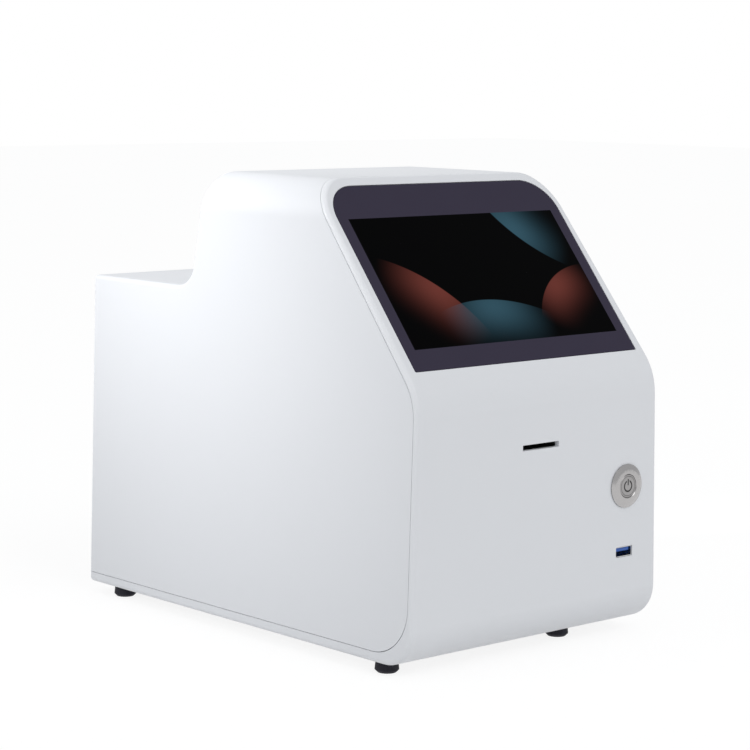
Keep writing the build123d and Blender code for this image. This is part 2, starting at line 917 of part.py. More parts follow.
with BuildPart() as button_nut:
    with BuildSketch(station(panel_thickness)) as nut_outline:
        with Locations(button_place):
            RegularPolygon(nut_across / 2, 6, major_radius=False)
            Circle(barrel_radius + running_gap, mode=Mode.SUBTRACT)
    extrude(nut_outline.sketch, amount=-nut_thickness)
save("button_nut", button_nut)

with BuildPart() as button_contact_block:
    contact_plane = station(barrel_length)
    discs(contact_plane, [button_place], contact_radius, -contact_length)
    contact_zone = (2 * contact_radius, 2 * contact_flat)
    slab(contact_plane, button_place, contact_zone, -contact_length, Mode.INTERSECT)
    stem_room = stem_end - barrel_length + plunger_travel + seal_thickness
    discs(contact_plane, [button_place], stem_radius + running_gap, -stem_room, Mode.SUBTRACT)
    for side in (-1, 1):
        terminal_place = (button_x + side * terminal_spacing, button_height)
        terminal_size = (terminal_width, terminal_tall)
        slab(station(barrel_length + contact_length), terminal_place, terminal_size, -terminal_length)
save("button_contact_block", button_contact_block)

# Slide guide: funnel behind the slot, with a screwed flange
guide_place = (slot_x, slot_height)
with BuildPart() as slot_guide:
    guide_plane = station(panel_thickness)
    slab(guide_plane, guide_place, (guide_width, guide_tall), -guide_length, corner=part_corner)
    slab(guide_plane, guide_place, (guide_flange_width, guide_tall), -guide_flange, corner=part_corner)
    with BuildSketch(station(panel_thickness)) as funnel_mouth:
        with Locations(guide_place):
            Rectangle(slot_width + guide_funnel, slot_opening + guide_funnel)
    with BuildSketch(station(panel_thickness + guide_length)) as funnel_throat:
        with Locations(guide_place):
            Rectangle(slide_width + 2 * slide_clearance, slide_thickness + 2 * slide_clearance)
    loft([funnel_mouth.sketch, funnel_throat.sketch], mode=Mode.SUBTRACT)
    discs(station(panel_thickness), guide_screws, screw_radius + pilot_gap, -guide_flange, Mode.SUBTRACT)
save("slot_guide", slot_guide)

# Data socket: folded shell, plastic blade and its small board
socket_width = socket_cut_width - 2 * socket_margin
socket_tall = socket_cut_tall - 2 * socket_margin
with BuildPart() as socket_shell:
    shell_plane = station(socket_inset)
    shell_size = (socket_width, socket_tall)
    slab(shell_plane, socket_place, shell_size, -socket_length, corner=socket_shell_corner)
    inner_size = (socket_width - 2 * socket_wall, socket_tall - 2 * socket_wall)
    slab(shell_plane, socket_place, inner_size, -socket_length, Mode.SUBTRACT, socket_inner_corner)
save("socket_shell", socket_shell)

with BuildPart() as socket_blade:
    base_size = (inner_size[0] - 2 * fit_gap, inner_size[1] - 2 * fit_gap)
    base_plane = station(socket_inset + socket_length - socket_base)
    slab(base_plane, socket_place, base_size, -socket_base, corner=socket_inner_corner + fit_gap)
    blade_place = (socket_x, socket_height + blade_rise)
    blade_size = (socket_width - 2 * socket_wall - 2 * blade_side_gap, blade_tall)
    blade_length = socket_length - socket_base - blade_inset
    slab(station(socket_inset + blade_inset), blade_place, blade_size, -blade_length)
save("socket_blade", socket_blade)

with BuildPart() as socket_board:
    board_middle = (socket_x, panel_thickness + seam_gap + socket_board_length / 2)
    slab(level(shelf_top), board_middle, (socket_board_width, socket_board_length), board_thickness)
    discs(level(shelf_top), socket_screws, screw_radius + pilot_gap, board_thickness, Mode.SUBTRACT)
save("socket_board", socket_board)

with BuildPart() as panel_screws:
    bracket_outer = flipped(slope(bracket_depth + bracket_sheet))
    bracket_screw_places = [(x, -along) for x, along in bracket_posts]
    screws_on(bracket_outer, bracket_screw_places, bracket_sheet + screw_reach * 0.8)
    guide_outer = flipped(station(panel_thickness + guide_flange))
    guide_screw_places = [(x, -height) for x, height in guide_screws]
    screws_on(guide_outer, guide_screw_places, guide_flange + panel_thickness * 0.6)
    screws_on(level(socket_board_top), socket_screws, board_thickness + shelf_thickness * 0.7)
save("panel_screws", panel_screws)

# Chassis plate on the tray's bosses
with BuildPart() as chassis_plate:
    chassis_middle = (0, (chassis_front + chassis_rear) / 2)
    chassis_size = (2 * chassis_half_width, chassis_rear - chassis_front)
    slab(level(chassis_low), chassis_middle, chassis_size, chassis_thickness, corner=chassis_corner)
    chassis_hole = screw_radius + pilot_gap
    discs(level(chassis_low), chassis_screw_places, chassis_hole, chassis_thickness, Mode.SUBTRACT)
    cable_place = (cable_slot_side - chassis_half_width, cable_slot_depth)
    cable_slot = (cable_slot_width, cable_slot_length)
    slab(level(chassis_low), cable_place, cable_slot, chassis_thickness, Mode.SUBTRACT, cable_slot_corner)
save("chassis_plate", chassis_plate)

# Stage base: a folded table over the focus drive, with the motor's upright at its rear
stage_bore = (slot_x, axis_depth)
screw_place = (screw_x, screw_height)
with BuildPart() as stage_base:
    with BuildSketch(station(stage_front)) as table_profile:
        with BuildLine():
            FilletPolyline(
                (stage_left, chassis_top),
                (stage_left, stage_top),
                (stage_right, stage_top),
                (stage_right, chassis_top),
                (stage_right - leg_thickness, chassis_top),
                (stage_right - leg_thickness, stage_top - stage_plate),
                (stage_left + leg_thickness, stage_top - stage_plate),
                (stage_left + leg_thickness, chassis_top),
                radius=[0, 3, 3, 0, 0, 4, 4, 0],
                close=True,
            )
        make_face()
    extrude(table_profile.sketch, amount=stage_front - stage_rear)
    discs(level(stage_top), [stage_bore], objective_window, -stage_plate, Mode.SUBTRACT)
    # Openings in both legs
    stage_middle = (stage_front + stage_rear) / 2
    leg_window = (0.6 * (stage_rear - stage_front), 0.55 * (stage_top - chassis_top))
    leg_centre = (stage_middle, (stage_top + chassis_top) / 2)
    slab(section(-base_width / 2), leg_centre, leg_window, base_width, Mode.SUBTRACT, 8.0)
    # Front bearing block and rear motor upright
    ear_width = bearing_width
    ear_height = screw_height - stage_top + bearing_width / 2
    ear_centre = (screw_x, stage_top + ear_height / 2)
    slab(station(stage_front), ear_centre, (ear_width, ear_height), -bearing_length)
    motor_left = screw_x - stage_motor_size / 2
    plate_low = stage_top - stage_plate
    plate_high = screw_height + stage_motor_size / 2
    plate_centre = ((motor_left + stage_right) / 2, (plate_low + plate_high) / 2)
    upright_size = (stage_right - motor_left, plate_high - plate_low)
    slab(station(stage_rear), plate_centre, upright_size, -motor_plate)
    journal_hole = journal_radius + running_gap
    discs(station(stage_front), [screw_place], journal_hole, -bearing_length, Mode.SUBTRACT)
    discs(station(stage_rear), [screw_place], shaft_radius + running_gap, -motor_plate, Mode.SUBTRACT)
save("stage_base", stage_base)

# Rails with side grooves, and the runners that straddle them
rail_length = stage_rear - stage_front - 2 * rail_inset
rail_xs = [slot_x + side * rail_offset for side in (-1, 1)]
for rail_name, rail_x in zip(("stage_rail_left", "stage_rail_right"), rail_xs):
    with BuildPart() as rail:
        rail_start = station(stage_front + rail_inset)
        slab(rail_start, (rail_x, stage_top + rail_height / 2), (rail_width, rail_height), -rail_length)
        for side in (-1, 1):
            groove_place = (rail_x + side * rail_width / 2, stage_top + rail_height * 0.6)
            groove_size = (2 * rail_groove, 2 * rail_groove)
            slab(rail_start, groove_place, groove_size, -rail_length, Mode.SUBTRACT)
    save(rail_name, rail)

runner_depths = (
    carriage_front + rail_inset,
    carriage_front + carriage_length - rail_inset - runner_length,
)
with BuildPart() as stage_runners:
    for rail_x in rail_xs:
        for runner_depth in runner_depths:
            runner_tall = runner_top - runner_lift
            runner_centre = (rail_x, stage_top + runner_lift + runner_tall / 2)
            slab(station(runner_depth), runner_centre, (runner_width, runner_tall), -runner_length)
            channel_tall = rail_height + running_gap - runner_lift
            channel_centre = (rail_x, stage_top + runner_lift + channel_tall / 2)
            channel_size = (rail_width + 2 * running_gap, channel_tall)
            slab(station(runner_depth), channel_centre, channel_size, -runner_length, Mode.SUBTRACT)
save("stage_runners", stage_runners)

# Carriage, slide tray and spring clamps
carriage_rear = carriage_front + carriage_length
light_depth = tray_front + light_start + light_length / 2
with BuildPart() as stage_carriage:
    carriage_middle = (slot_x, carriage_front + carriage_length / 2)
    carriage_size = (carriage_width, carriage_length)
    slab(level(carriage_low), carriage_middle, carriage_size, carriage_thickness, corner=part_corner)
    window_front = tray_front + light_start
    slot_middle = (slot_x, (window_front + carriage_rear + 1) / 2)
    slot_size = (light_width, carriage_rear + 1 - window_front)
    slab(level(carriage_low), slot_middle, slot_size, carriage_thickness, Mode.SUBTRACT)
save("stage_carriage", stage_carriage)

pocket_width = slide_width + 2 * slide_clearance
with BuildPart() as slide_tray:
    tray_middle = (slot_x, tray_front + tray_length / 2)
    tray_top = slide_floor + tray_rim
    tray_size = (tray_width, tray_length)
    slab(level(carriage_top), tray_middle, tray_size, tray_top - carriage_top, corner=part_corner)
    pocket_middle = (slot_x, tray_front + (tray_length - lip_width) / 2)
    pocket_size = (pocket_width, tray_length - lip_width)
    slab(level(slide_floor), pocket_middle, pocket_size, tray_rim, Mode.SUBTRACT)
    light_middle = (slot_x, light_depth)
    light_size = (light_width, light_length)
    slab(level(carriage_top), light_middle, light_size, tray_rim + tray_top, Mode.SUBTRACT, plate_corner)
save("slide_tray", slide_tray)

with BuildPart() as slide_clamps:
    clamp_rear = tray_front + tray_length - lip_width
    clamp_bend = clamp_rear - clamp_foot
    clamp_tip = clamp_bend - clamp_reach
    for side in (-1, 1):
        clamp_x = slot_x + side * (pocket_width / 2 + clamp_width / 4)
        with BuildSketch(section(clamp_x - clamp_width / 2)) as strip:
            with BuildLine():
                Polyline(
                    (clamp_rear, tray_top),
                    (clamp_bend, tray_top),
                    (clamp_bend - clamp_lift, tray_top + clamp_lift),
                    (clamp_tip + clamp_lift, tray_top + clamp_lift * 0.8),
                    (clamp_tip, tray_top + clamp_lift * 1.5),
                    (clamp_tip, tray_top + clamp_lift * 1.5 + clamp_sheet),
                    (clamp_tip + clamp_lift, tray_top + clamp_lift * 0.8 + clamp_sheet),
                    (clamp_bend - clamp_lift, tray_top + clamp_lift + clamp_sheet),
                    (clamp_bend, tray_top + clamp_sheet),
                    (clamp_rear, tray_top + clamp_sheet),
                    close=True,
                )
            make_face()
        extrude(strip.sketch, amount=clamp_width)
save("slide_clamps", slide_clamps)

# Stage drive: threaded screw, nut on the carriage, slit coupling and motor
stage_screw_axis = Axis((screw_x, 0, foot_height + screw_height), (0, 1, 0))
shaft_end = coupling_start + coupling_length / 2
with BuildPart() as stage_screw:
    crest = screw_height + thread_radius
    thread_points = [(stage_front, screw_height), (stage_front, screw_height + journal_radius)]
    thread_points.append((thread_start, screw_height + journal_radius))
    thread_points += [(thread_start, crest), (coupling_start, crest)]
    thread_points.append((coupling_start, screw_height + shaft_radius))
    thread_points += [(shaft_end, screw_height + shaft_radius), (shaft_end, screw_height)]
    turned(section(screw_x), thread_points, stage_screw_axis)
save("stage_screw", stage_screw)

nut_front = carriage_front + nut_block_start
with BuildPart() as stage_nut:
    nut_centre = (carriage_side + nut_block_width / 2, screw_height)
    nut_size = (nut_block_width, nut_block_tall)
    slab(station(nut_front), nut_centre, nut_size, -nut_block_length, corner=sheet_corner)
    thread_hole = thread_radius + running_gap
    discs(station(nut_front), [screw_place], thread_hole, -nut_block_length, Mode.SUBTRACT)
save("stage_nut", stage_nut)

with BuildPart() as stage_coupling:
    discs(station(coupling_start), [screw_place], coupling_radius, -coupling_length)
    coupling_hole = shaft_radius + fit_gap
    discs(station(coupling_start), [screw_place], coupling_hole, -coupling_length / 2, Mode.SUBTRACT)
    for step in (0.3, 0.5, 0.7):
        slit_place = (screw_x + (0.5 - step) * coupling_radius, screw_height)
        slit_plane = station(coupling_start + step * coupling_length)
        slit_size = (coupling_radius, 3 * coupling_radius)
        slab(slit_plane, slit_place, slit_size, -coupling_slit, Mode.SUBTRACT)
    motor_face = stage_rear + motor_plate
    shaft_reach = motor_face + bearing_length / 2 - coupling_end
    discs(station(coupling_end), [screw_place], shaft_radius, -shaft_reach)
save("stage_coupling", stage_coupling)

with BuildPart() as stage_motor:
    slab(station(motor_face), screw_place, (stage_motor_size, stage_motor_size), -stage_motor_length)
    chamfer(stage_motor.edges().filter_by(Axis.Y), stage_motor_size * 0.08)
    discs(station(motor_face), [screw_place], shaft_radius + running_gap, -bearing_length, Mode.SUBTRACT)
save("stage_motor", stage_motor)

# Optics column: foot, post, gusset and arm in one casting
column_rear = column_front + column_thickness
with BuildPart() as optics_column:
    with BuildSketch(section(slot_x - column_width / 2)) as column_profile:
        with BuildLine():
            Polyline(
                (column_front, chassis_top),
                (column_front, arm_underside - gusset),
                (column_front - gusset, arm_underside),
                (arm_front, arm_underside),
                (arm_front, arm_underside + arm_thickness),
                (column_rear, arm_underside + arm_thickness),
                (column_rear, chassis_top + column_foot_height),
                (column_front + column_foot, chassis_top + column_foot_height),
                (column_front + column_foot, chassis_top),
                close=True,
            )
        make_face()
    extrude(column_profile.sketch, amount=column_width)
    arm_corners = optics_column.edges().filter_by(Axis.Z).group_by(Axis.Y)[0]
    fillet(arm_corners, radius=column_width * 0.4)
    column_window = (column_width * 0.5, (arm_underside - focus_rail_high) * 0.4)
    column_place = (slot_x, (arm_underside + focus_rail_high) / 2)
    slab(station(column_front), column_place, column_window, -column_thickness, Mode.SUBTRACT, 6.0)
    discs(level(arm_underside), [stage_bore], shaft_radius, arm_thickness, Mode.SUBTRACT)
save("optics_column", optics_column)

# Lamp: finned housing under the arm, with a condenser lens on its ledge
lamp_low = arm_underside - lamp_length
with BuildPart() as lamp_housing:
    discs(level(arm_underside), [stage_bore], lamp_radius, -lamp_length)
    discs(level(lamp_low), [stage_bore], lamp_mouth, lamp_ledge, Mode.SUBTRACT)
    discs(level(lamp_low + lamp_ledge), [stage_bore], lamp_bore, lamp_bore_depth, Mode.SUBTRACT)
    for groove in range(lamp_groove_count):
        groove_plane = level(arm_underside - lamp_groove * (groove * 1.4 + 1))
        with BuildSketch(groove_plane) as groove_ring:
            with Locations(stage_bore):
                Circle(lamp_radius)
                Circle(lamp_radius - lamp_groove, mode=Mode.SUBTRACT)
        extrude(groove_ring.sketch, amount=-lamp_groove * 0.7, mode=Mode.SUBTRACT)
save("lamp_housing", lamp_housing)

optical_axis = Axis((slot_x, front_y + axis_depth, 0), (0, 0, 1))


def on_optical_axis(points):
    """Profile points given as (radius, height), set on the optical axis."""
    return [(axis_depth + radius, height) for radius, height in points]


lens_low = lamp_low + lamp_ledge
condenser_radius = lamp_bore - condenser_gap
with BuildPart() as condenser_lens:
    with BuildSketch(section(slot_x)) as lens_profile:
        with BuildLine():
            Polyline(
                *on_optical_axis(
                    [
                        (0, lens_low + condenser_edge + condenser_crown),
                        (0, lens_low),
                        (condenser_radius, lens_low),
                        (condenser_radius, lens_low + condenser_edge),
                    ]
                )
            )
            RadiusArc(
                *on_optical_axis(
                    [
                        (condenser_radius, lens_low + condenser_edge),
                        (0, lens_low + condenser_edge + condenser_crown),
                    ]
                ),
                -(condenser_radius**2 + condenser_crown**2) / (2 * condenser_crown),
            )
        make_face()
    revolve(lens_profile.sketch, axis=optical_axis)
save("condenser_lens", condenser_lens)

# Focus drive: rail on the column, carriage with arm and collar, tube, objective and camera
with BuildPart() as focus_rail:
    rail_tall = focus_rail_high - focus_rail_low
    rail_place = (slot_x, focus_rail_low + rail_tall / 2)
    slab(station(column_front), rail_place, (focus_rail_width, rail_tall), focus_rail_depth)
    for side in (-1, 1):
        groove_place = (slot_x + side * focus_rail_width / 2, column_front - focus_rail_depth / 2)
        groove_size = (2 * rail_groove, 2 * rail_groove)
        slab(level(focus_rail_low), groove_place, groove_size, rail_tall, Mode.SUBTRACT)
save("focus_rail", focus_rail)

rail_face = column_front - focus_rail_depth
block_front = rail_face - focus_block_depth
collar_radius = tube_radius + fit_gap + collar_wall
ear_low = focus_nut_low
with BuildPart() as focus_carriage:
    block_middle = (slot_x, (block_front + rail_face + focus_wrap) / 2)
    block_size = (focus_block_width, focus_block_depth + focus_wrap)
    block_tall = focus_block_high - focus_block_low
    slab(level(focus_block_low), block_middle, block_size, block_tall)
    channel_depth = focus_wrap + running_gap
    channel_middle = (slot_x, rail_face - running_gap + channel_depth / 2)
    channel_size = (focus_rail_width + 2 * running_gap, channel_depth)
    slab(level(focus_block_low), channel_middle, channel_size, block_tall, Mode.SUBTRACT)
    arm_middle = (slot_x, (axis_depth + block_front) / 2)
    arm_size = (focus_arm_width, block_front - axis_depth)
    slab(level(focus_arm_low), arm_middle, arm_size, focus_arm_height)
    discs(level(focus_arm_low), [stage_bore], collar_radius, focus_arm_height)
    tube_hole = tube_radius + fit_gap
    discs(level(focus_arm_low), [stage_bore], tube_hole, focus_arm_height, Mode.SUBTRACT)
    # Ear that carries the nut of the focus screw
    block_side = slot_x + focus_block_width / 2
    ear_middle = (block_side + focus_ear_width / 2, focus_screw_depth)
    ear_size = (focus_ear_width, 2 * (focus_nut_radius + tube_wall))
    slab(level(ear_low), ear_middle, ear_size, focus_block_high - ear_low)
    focus_place = (focus_screw_x, focus_screw_depth)
    nut_hole = focus_nut_radius + fit_gap
    discs(level(ear_low), [focus_place], nut_hole, focus_block_high - ear_low, Mode.SUBTRACT)
save("focus_carriage", focus_carriage)

with BuildPart() as lens_tube:
    discs(level(tube_low), [stage_bore], tube_radius, tube_high - tube_low)
    tube_bore = tube_radius - tube_wall
    discs(level(tube_low), [stage_bore], tube_bore, tube_high - tube_low, Mode.SUBTRACT)
save("lens_tube", lens_tube)

with BuildPart() as objective_lens:
    objective_top = tube_high + objective_length
    stub_radius = tube_radius - tube_wall - fit_gap
    turned(
        section(slot_x),
        on_optical_axis(
            [
                (0, tube_high - objective_stub),
                (stub_radius, tube_high - objective_stub),
                (stub_radius, tube_high),
                (objective_radius, tube_high),
                (objective_radius, objective_top - objective_taper),
                (objective_tip, objective_top),
                (front_lens_radius, objective_top),
                (front_lens_radius * 0.7, objective_top - rail_groove),
                (0, objective_top - rail_groove),
            ]
        ),
        optical_axis,
    )
save("objective_lens", objective_lens)

with BuildPart() as camera_housing:
    camera_low = tube_low - camera_height
    slab(level(camera_low), stage_bore, (camera_size, camera_size), camera_height, corner=part_corner)
    discs(level(tube_low), [stage_bore], camera_window, -camera_height * 0.3, Mode.SUBTRACT)
save("camera_housing", camera_housing)

focus_axis = Axis((focus_screw_x, front_y + focus_screw_depth, 0), (0, 0, 1))
focus_shaft_low = (focus_coupling_low + focus_coupling_high) / 2
bearing_high = focus_bearing_low + focus_bearing_height
with BuildPart() as focus_screw:
    focus_steps = [
        (0, focus_shaft_low),
        (focus_shaft_radius, focus_shaft_low),
        (focus_shaft_radius, focus_coupling_high),
        (focus_thread_radius, focus_coupling_high),
        (focus_thread_radius, focus_bearing_low - seam_gap),
        (focus_journal_radius, focus_bearing_low - seam_gap),
        (focus_journal_radius, bearing_high - tape_thickness),
        (0, bearing_high - tape_thickness),
    ]
    turned(section(focus_screw_x), [(focus_screw_depth + r, h) for r, h in focus_steps], focus_axis)
save("focus_screw", focus_screw)

with BuildPart() as focus_nut:
    nut_tall = focus_block_high - focus_nut_low
    discs(level(focus_nut_low), [focus_place], focus_nut_radius, nut_tall)
    nut_bore = focus_thread_radius + running_gap
    discs(level(focus_nut_low), [focus_place], nut_bore, nut_tall, Mode.SUBTRACT)
save("focus_nut", focus_nut)

with BuildPart() as focus_bearing:
    bearing_front = focus_screw_depth - focus_nut_radius - tube_wall
    bearing_middle = (focus_screw_x, (bearing_front + column_front) / 2)
    bearing_size = (focus_bearing_width, column_front - bearing_front)
    slab(level(focus_bearing_low), bearing_middle, bearing_size, focus_bearing_height)
    bearing_corners = focus_bearing.edges().filter_by(Axis.Z).group_by(Axis.Y)[0]
    fillet(bearing_corners, radius=focus_bearing_width * 0.2)
    journal_bore = focus_journal_radius + running_gap
    discs(level(focus_bearing_low), [focus_place], journal_bore, focus_bearing_height, Mode.SUBTRACT)
save("focus_bearing", focus_bearing)

with BuildPart() as focus_coupling:
    coupling_tall = focus_coupling_high - seam_gap - focus_coupling_low
    discs(level(focus_coupling_low), [focus_place], focus_coupling_radius, coupling_tall)
    shaft_hole = focus_shaft_radius + fit_gap
    discs(level(focus_shaft_low), [focus_place], shaft_hole, coupling_tall, Mode.SUBTRACT)
    focus_motor_top = chassis_top + focus_motor_length
    tail = focus_coupling_low - focus_motor_top + bearing_length / 2
    discs(level(focus_coupling_low), [focus_place], focus_shaft_radius, -tail)
save("focus_coupling", focus_coupling)

with BuildPart() as focus_motor:
    motor_size = (focus_motor_size, focus_motor_size)
    slab(level(chassis_top), focus_place, motor_size, focus_motor_length)
    chamfer(focus_motor.edges().filter_by(Axis.Z), focus_motor_size * 0.08)
    motor_bore = focus_shaft_radius + running_gap
    discs(level(focus_motor_top), [focus_place], motor_bore, -bearing_length, Mode.SUBTRACT)
save("focus_motor", focus_motor)

# Main board on standoffs, with its processor, connectors and heat sink
board_middle_x = (board_left + board_right) / 2
board_middle_y = (board_front + board_rear) / 2
board_width = board_right - board_left
board_length = board_rear - board_front
standoff_row = board_length / 2 - standoff_inset
standoff_places = [
    (board_middle_x + i * (board_width / 2 - standoff_inset), board_middle_y + j * standoff_row)
    for i in (-1, 1)
    for j in (-1, 1)
]
processor_place = (board_middle_x, board_middle_y - board_length / 8)
with BuildPart() as main_board:
    board_size = (board_width, board_length)
    main_board_middle = (board_middle_x, board_middle_y)
    slab(level(board_low), main_board_middle, board_size, board_thickness, corner=part_corner)
    discs(level(board_low), standoff_places, screw_radius, board_thickness, Mode.SUBTRACT)
    slab(level(board_top), processor_place, (chip_size, chip_size), chip_thickness)
    memory_room = board_length - 2 * memory_start - connector_length - connector_rear
    for step in range(max(0, int(memory_room // memory_pitch)) + 1):
        memory_place = (board_left + memory_inset, board_front + memory_start + memory_pitch * step)
        slab(level(board_top), memory_place, (memory_width, memory_length), chip_thickness)
    connector_room = board_width - 2 * connector_inset + connector_width / 2
    for step in range(int(connector_room // connector_pitch) + 1):
        connector_x = board_left + connector_inset + connector_pitch * step
        connector_place = (connector_x, board_rear - connector_rear)
        slab(level(board_top), connector_place, (connector_width, connector_length), connector_height)
    capacitor_places = [
        (board_right - capacitor_inset, board_front + capacitor_start + capacitor_pitch * step)
        for step in range(capacitor_count)
    ]
    discs(level(board_top), capacitor_places, capacitor_radius, capacitor_height)
save("main_board", main_board)

with BuildPart() as board_standoffs:
    discs(level(chassis_top), standoff_places, standoff_radius, standoff_height)
save("board_standoffs", board_standoffs)

cooler_low = board_top + chip_thickness
with BuildPart() as board_cooler:
    slab(level(cooler_low), processor_place, (cooler_size, cooler_size), cooler_base)
    fin_pitch = (cooler_size - fin_thickness) / (cooler_fins - 1)
    for fin in range(cooler_fins):
        fin_x = processor_place[0] - cooler_size / 2 + fin_thickness / 2 + fin * fin_pitch
        fin_place = (fin_x, processor_place[1])
        fin_size = (fin_thickness, cooler_size)
        slab(level(cooler_low + cooler_base), fin_place, fin_size, cooler_height - cooler_base)
save("board_cooler", board_cooler)

# Power supply in a vented sheet case
with BuildPart() as power_supply:
    supply_middle = ((supply_left + supply_right) / 2, (supply_front + supply_rear) / 2)
    supply_size = (supply_right - supply_left, supply_rear - supply_front)
    slab(level(chassis_top), supply_middle, supply_size, supply_height, corner=sheet_corner)
    inside = (supply_size[0] - 2 * supply_sheet, supply_size[1] - 2 * supply_sheet)
    inside_height = supply_height - 2 * supply_sheet
    slab(level(chassis_top + supply_sheet), supply_middle, inside, inside_height, Mode.SUBTRACT)
    with BuildSketch(level(chassis_top + supply_height)) as supply_vents:
        with Locations(supply_middle):
            with GridLocations(0, 2 * vent_pitch, 1, 5):
                SlotOverall(supply_size[0] * 0.7, vent_width)
    extrude(supply_vents.sketch, amount=-supply_sheet, mode=Mode.SUBTRACT)
save("power_supply", power_supply)

# Rear panel: sheet behind the hood's opening, with finger guard, vents and cut-outs
fan_place = (fan_x, fan_height)
fan_screw_places = [
    (fan_x + i * fan_hole_pitch / 2, fan_height + j * fan_hole_pitch / 2)
    for i in (-1, 1)
    for j in (-1, 1)
]
inlet_place = (inlet_x, inlet_height)
switch_place = (inlet_x, switch_height)
inlet_body = (inlet_cavity_width + 2 * inlet_wall, inlet_cavity_tall + 2 * inlet_wall)
switch_body = (switch_body_width, switch_body_tall)
with BuildPart() as rear_panel:
    panel_size = (
        2 * (opening_half_width + rear_side_overlap),
        opening_high - opening_low + 2 * rear_overlap,
    )
    slab(station(rear_face), opening_middle, panel_size, rear_sheet, corner=plate_corner)
    discs(station(rear_face), rear_screw_places, screw_radius + pilot_gap, rear_sheet, Mode.SUBTRACT)
    discs(station(rear_face), fan_screw_places, screw_radius + pilot_gap, rear_sheet, Mode.SUBTRACT)
    with BuildSketch(station(rear_face)) as guard:
        with Locations(fan_place):
            for ring_radius in grille_radii:
                Circle(ring_radius)
                Circle(ring_radius - grille_slot, mode=Mode.SUBTRACT)
            for turn in (45, -45):
                Rectangle(2 * fan_size, grille_spoke, rotation=turn, mode=Mode.SUBTRACT)
    extrude(guard.sketch, amount=rear_sheet, mode=Mode.SUBTRACT)
    with BuildSketch(station(rear_face)) as rear_vents:
        with Locations((fan_x, vent_height)):
            with GridLocations(vent_pitch, 0, vent_count, 1):
                SlotOverall(vent_length, vent_width, rotation=90)
    extrude(rear_vents.sketch, amount=rear_sheet, mode=Mode.SUBTRACT)
    inlet_cut = (inlet_body[0] + 2 * seam_gap, inlet_body[1] + 2 * seam_gap)
    slab(station(rear_face), inlet_place, inlet_cut, rear_sheet, Mode.SUBTRACT)
    switch_cut = (switch_body[0] + 2 * seam_gap, switch_body[1] + 2 * seam_gap)
    slab(station(rear_face), switch_place, switch_cut, rear_sheet, Mode.SUBTRACT)
save("rear_panel", rear_panel)

with BuildPart() as rear_screws:
    hood_outer = flipped(station(body_depth - screw_head_height))
    screws_on(hood_outer, [(x, -height) for x, height in rear_screw_places], hood_wall + rear_sheet)
    fan_outer = flipped(station(rear_face))
    fan_screws = [(x, -height) for x, height in fan_screw_places]
    screws_on(fan_outer, fan_screws, rear_sheet + screw_reach)
save("rear_screws", rear_screws)

# Fan frame: square with a round duct, struts and a bearing cup
fan_rear = rear_inside
fan_front = fan_rear - fan_depth
fan_axis = Axis((fan_x, 0, foot_height + fan_height), (0, 1, 0))
with BuildPart() as fan_frame:
    slab(station(fan_front), fan_place, (fan_size, fan_size), -fan_depth, corner=fan_corner)
    discs(station(fan_front), [fan_place], fan_bore, -fan_depth, Mode.SUBTRACT)
    discs(station(fan_rear), fan_screw_places, screw_radius + pilot_gap, screw_reach, Mode.SUBTRACT)
    discs(station(fan_front), [fan_place], fan_cup_radius, -fan_cup_depth)
    for turn in (0, 90):
        with BuildSketch(station(fan_front)) as strut:
            with Locations(fan_place):
                Rectangle(2 * fan_bore + fan_strut, fan_strut, rotation=turn)
                Circle(fan_cup_radius - fan_strut, mode=Mode.SUBTRACT)
        extrude(strut.sketch, amount=-fan_cup_depth * 0.6)
    discs(station(fan_front), [fan_place], axle_radius + running_gap, -fan_cup_depth, Mode.SUBTRACT)
save("fan_frame", fan_frame)

# Fan rotor: cup-shaped hub, axle and twisted blades
rotor_front = fan_front + rotor_start
blade_tip = fan_bore - blade_tip_gap
with BuildPart() as fan_blade:
    blade_y = front_y + rotor_front + rotor_length / 2
    blade_ends = ((hub_radius * 0.9, blade_root_pitch), (fan_bore + blade_tip_gap, blade_tip_pitch))
    for blade_radius, pitch in blade_ends:
        blade_origin = (fan_x + blade_radius, blade_y, foot_height + fan_height)
        with BuildSketch(Plane(origin=blade_origin, x_dir=(0, 1, 0), z_dir=(1, 0, 0))):
            Rectangle(blade_chord, blade_thickness, rotation=pitch)
    loft()
with BuildPart() as fan_rotor:
    discs(station(rotor_front), [fan_place], hub_radius, -rotor_length)
    for blade_turn in range(blade_count):
        add(fan_blade.part.rotate(fan_axis, blade_turn * 360 / blade_count))
    discs(station(rotor_front), [fan_place], blade_tip, -rotor_length, Mode.INTERSECT)
    discs(station(rotor_front), [fan_place], axle_radius, fan_cup_depth)
    rotor_rear = station(rotor_front + rotor_length)
    discs(rotor_rear, [fan_place], hub_radius * 0.8, hub_radius * 0.1, Mode.SUBTRACT)
save("fan_rotor", fan_rotor)

# Power inlet: chamfered cavity with three pins
with BuildPart() as power_inlet:
    flange_size = (inlet_flange_width, inlet_flange_tall)
    slab(station(rear_face), inlet_place, flange_size, -inlet_flange, corner=plate_corner)
    slab(station(rear_face), inlet_place, inlet_body, inlet_depth)
    with BuildSketch(station(rear_face + inlet_flange)) as cavity:
        with Locations(inlet_place):
            Rectangle(inlet_cavity_width, inlet_cavity_tall)
        chamfer(cavity.vertices().group_by(Axis.Y)[-1], inlet_chamfer)
    extrude(cavity.sketch, amount=inlet_cavity_depth, mode=Mode.SUBTRACT)
    pin_places = [
        (inlet_x - pin_spacing, inlet_height - earth_rise),
        (inlet_x + pin_spacing, inlet_height - earth_rise),
        (inlet_x, inlet_height + earth_rise),
    ]
    cavity_floor = rear_face + inlet_flange - inlet_cavity_depth
    for pin_place in pin_places:
        pin_hole = (pin_thickness + 2 * fit_gap, pin_tall + 2 * fit_gap)
        slab(station(cavity_floor), pin_place, pin_hole, inlet_depth, Mode.SUBTRACT)
save("power_inlet", power_inlet)

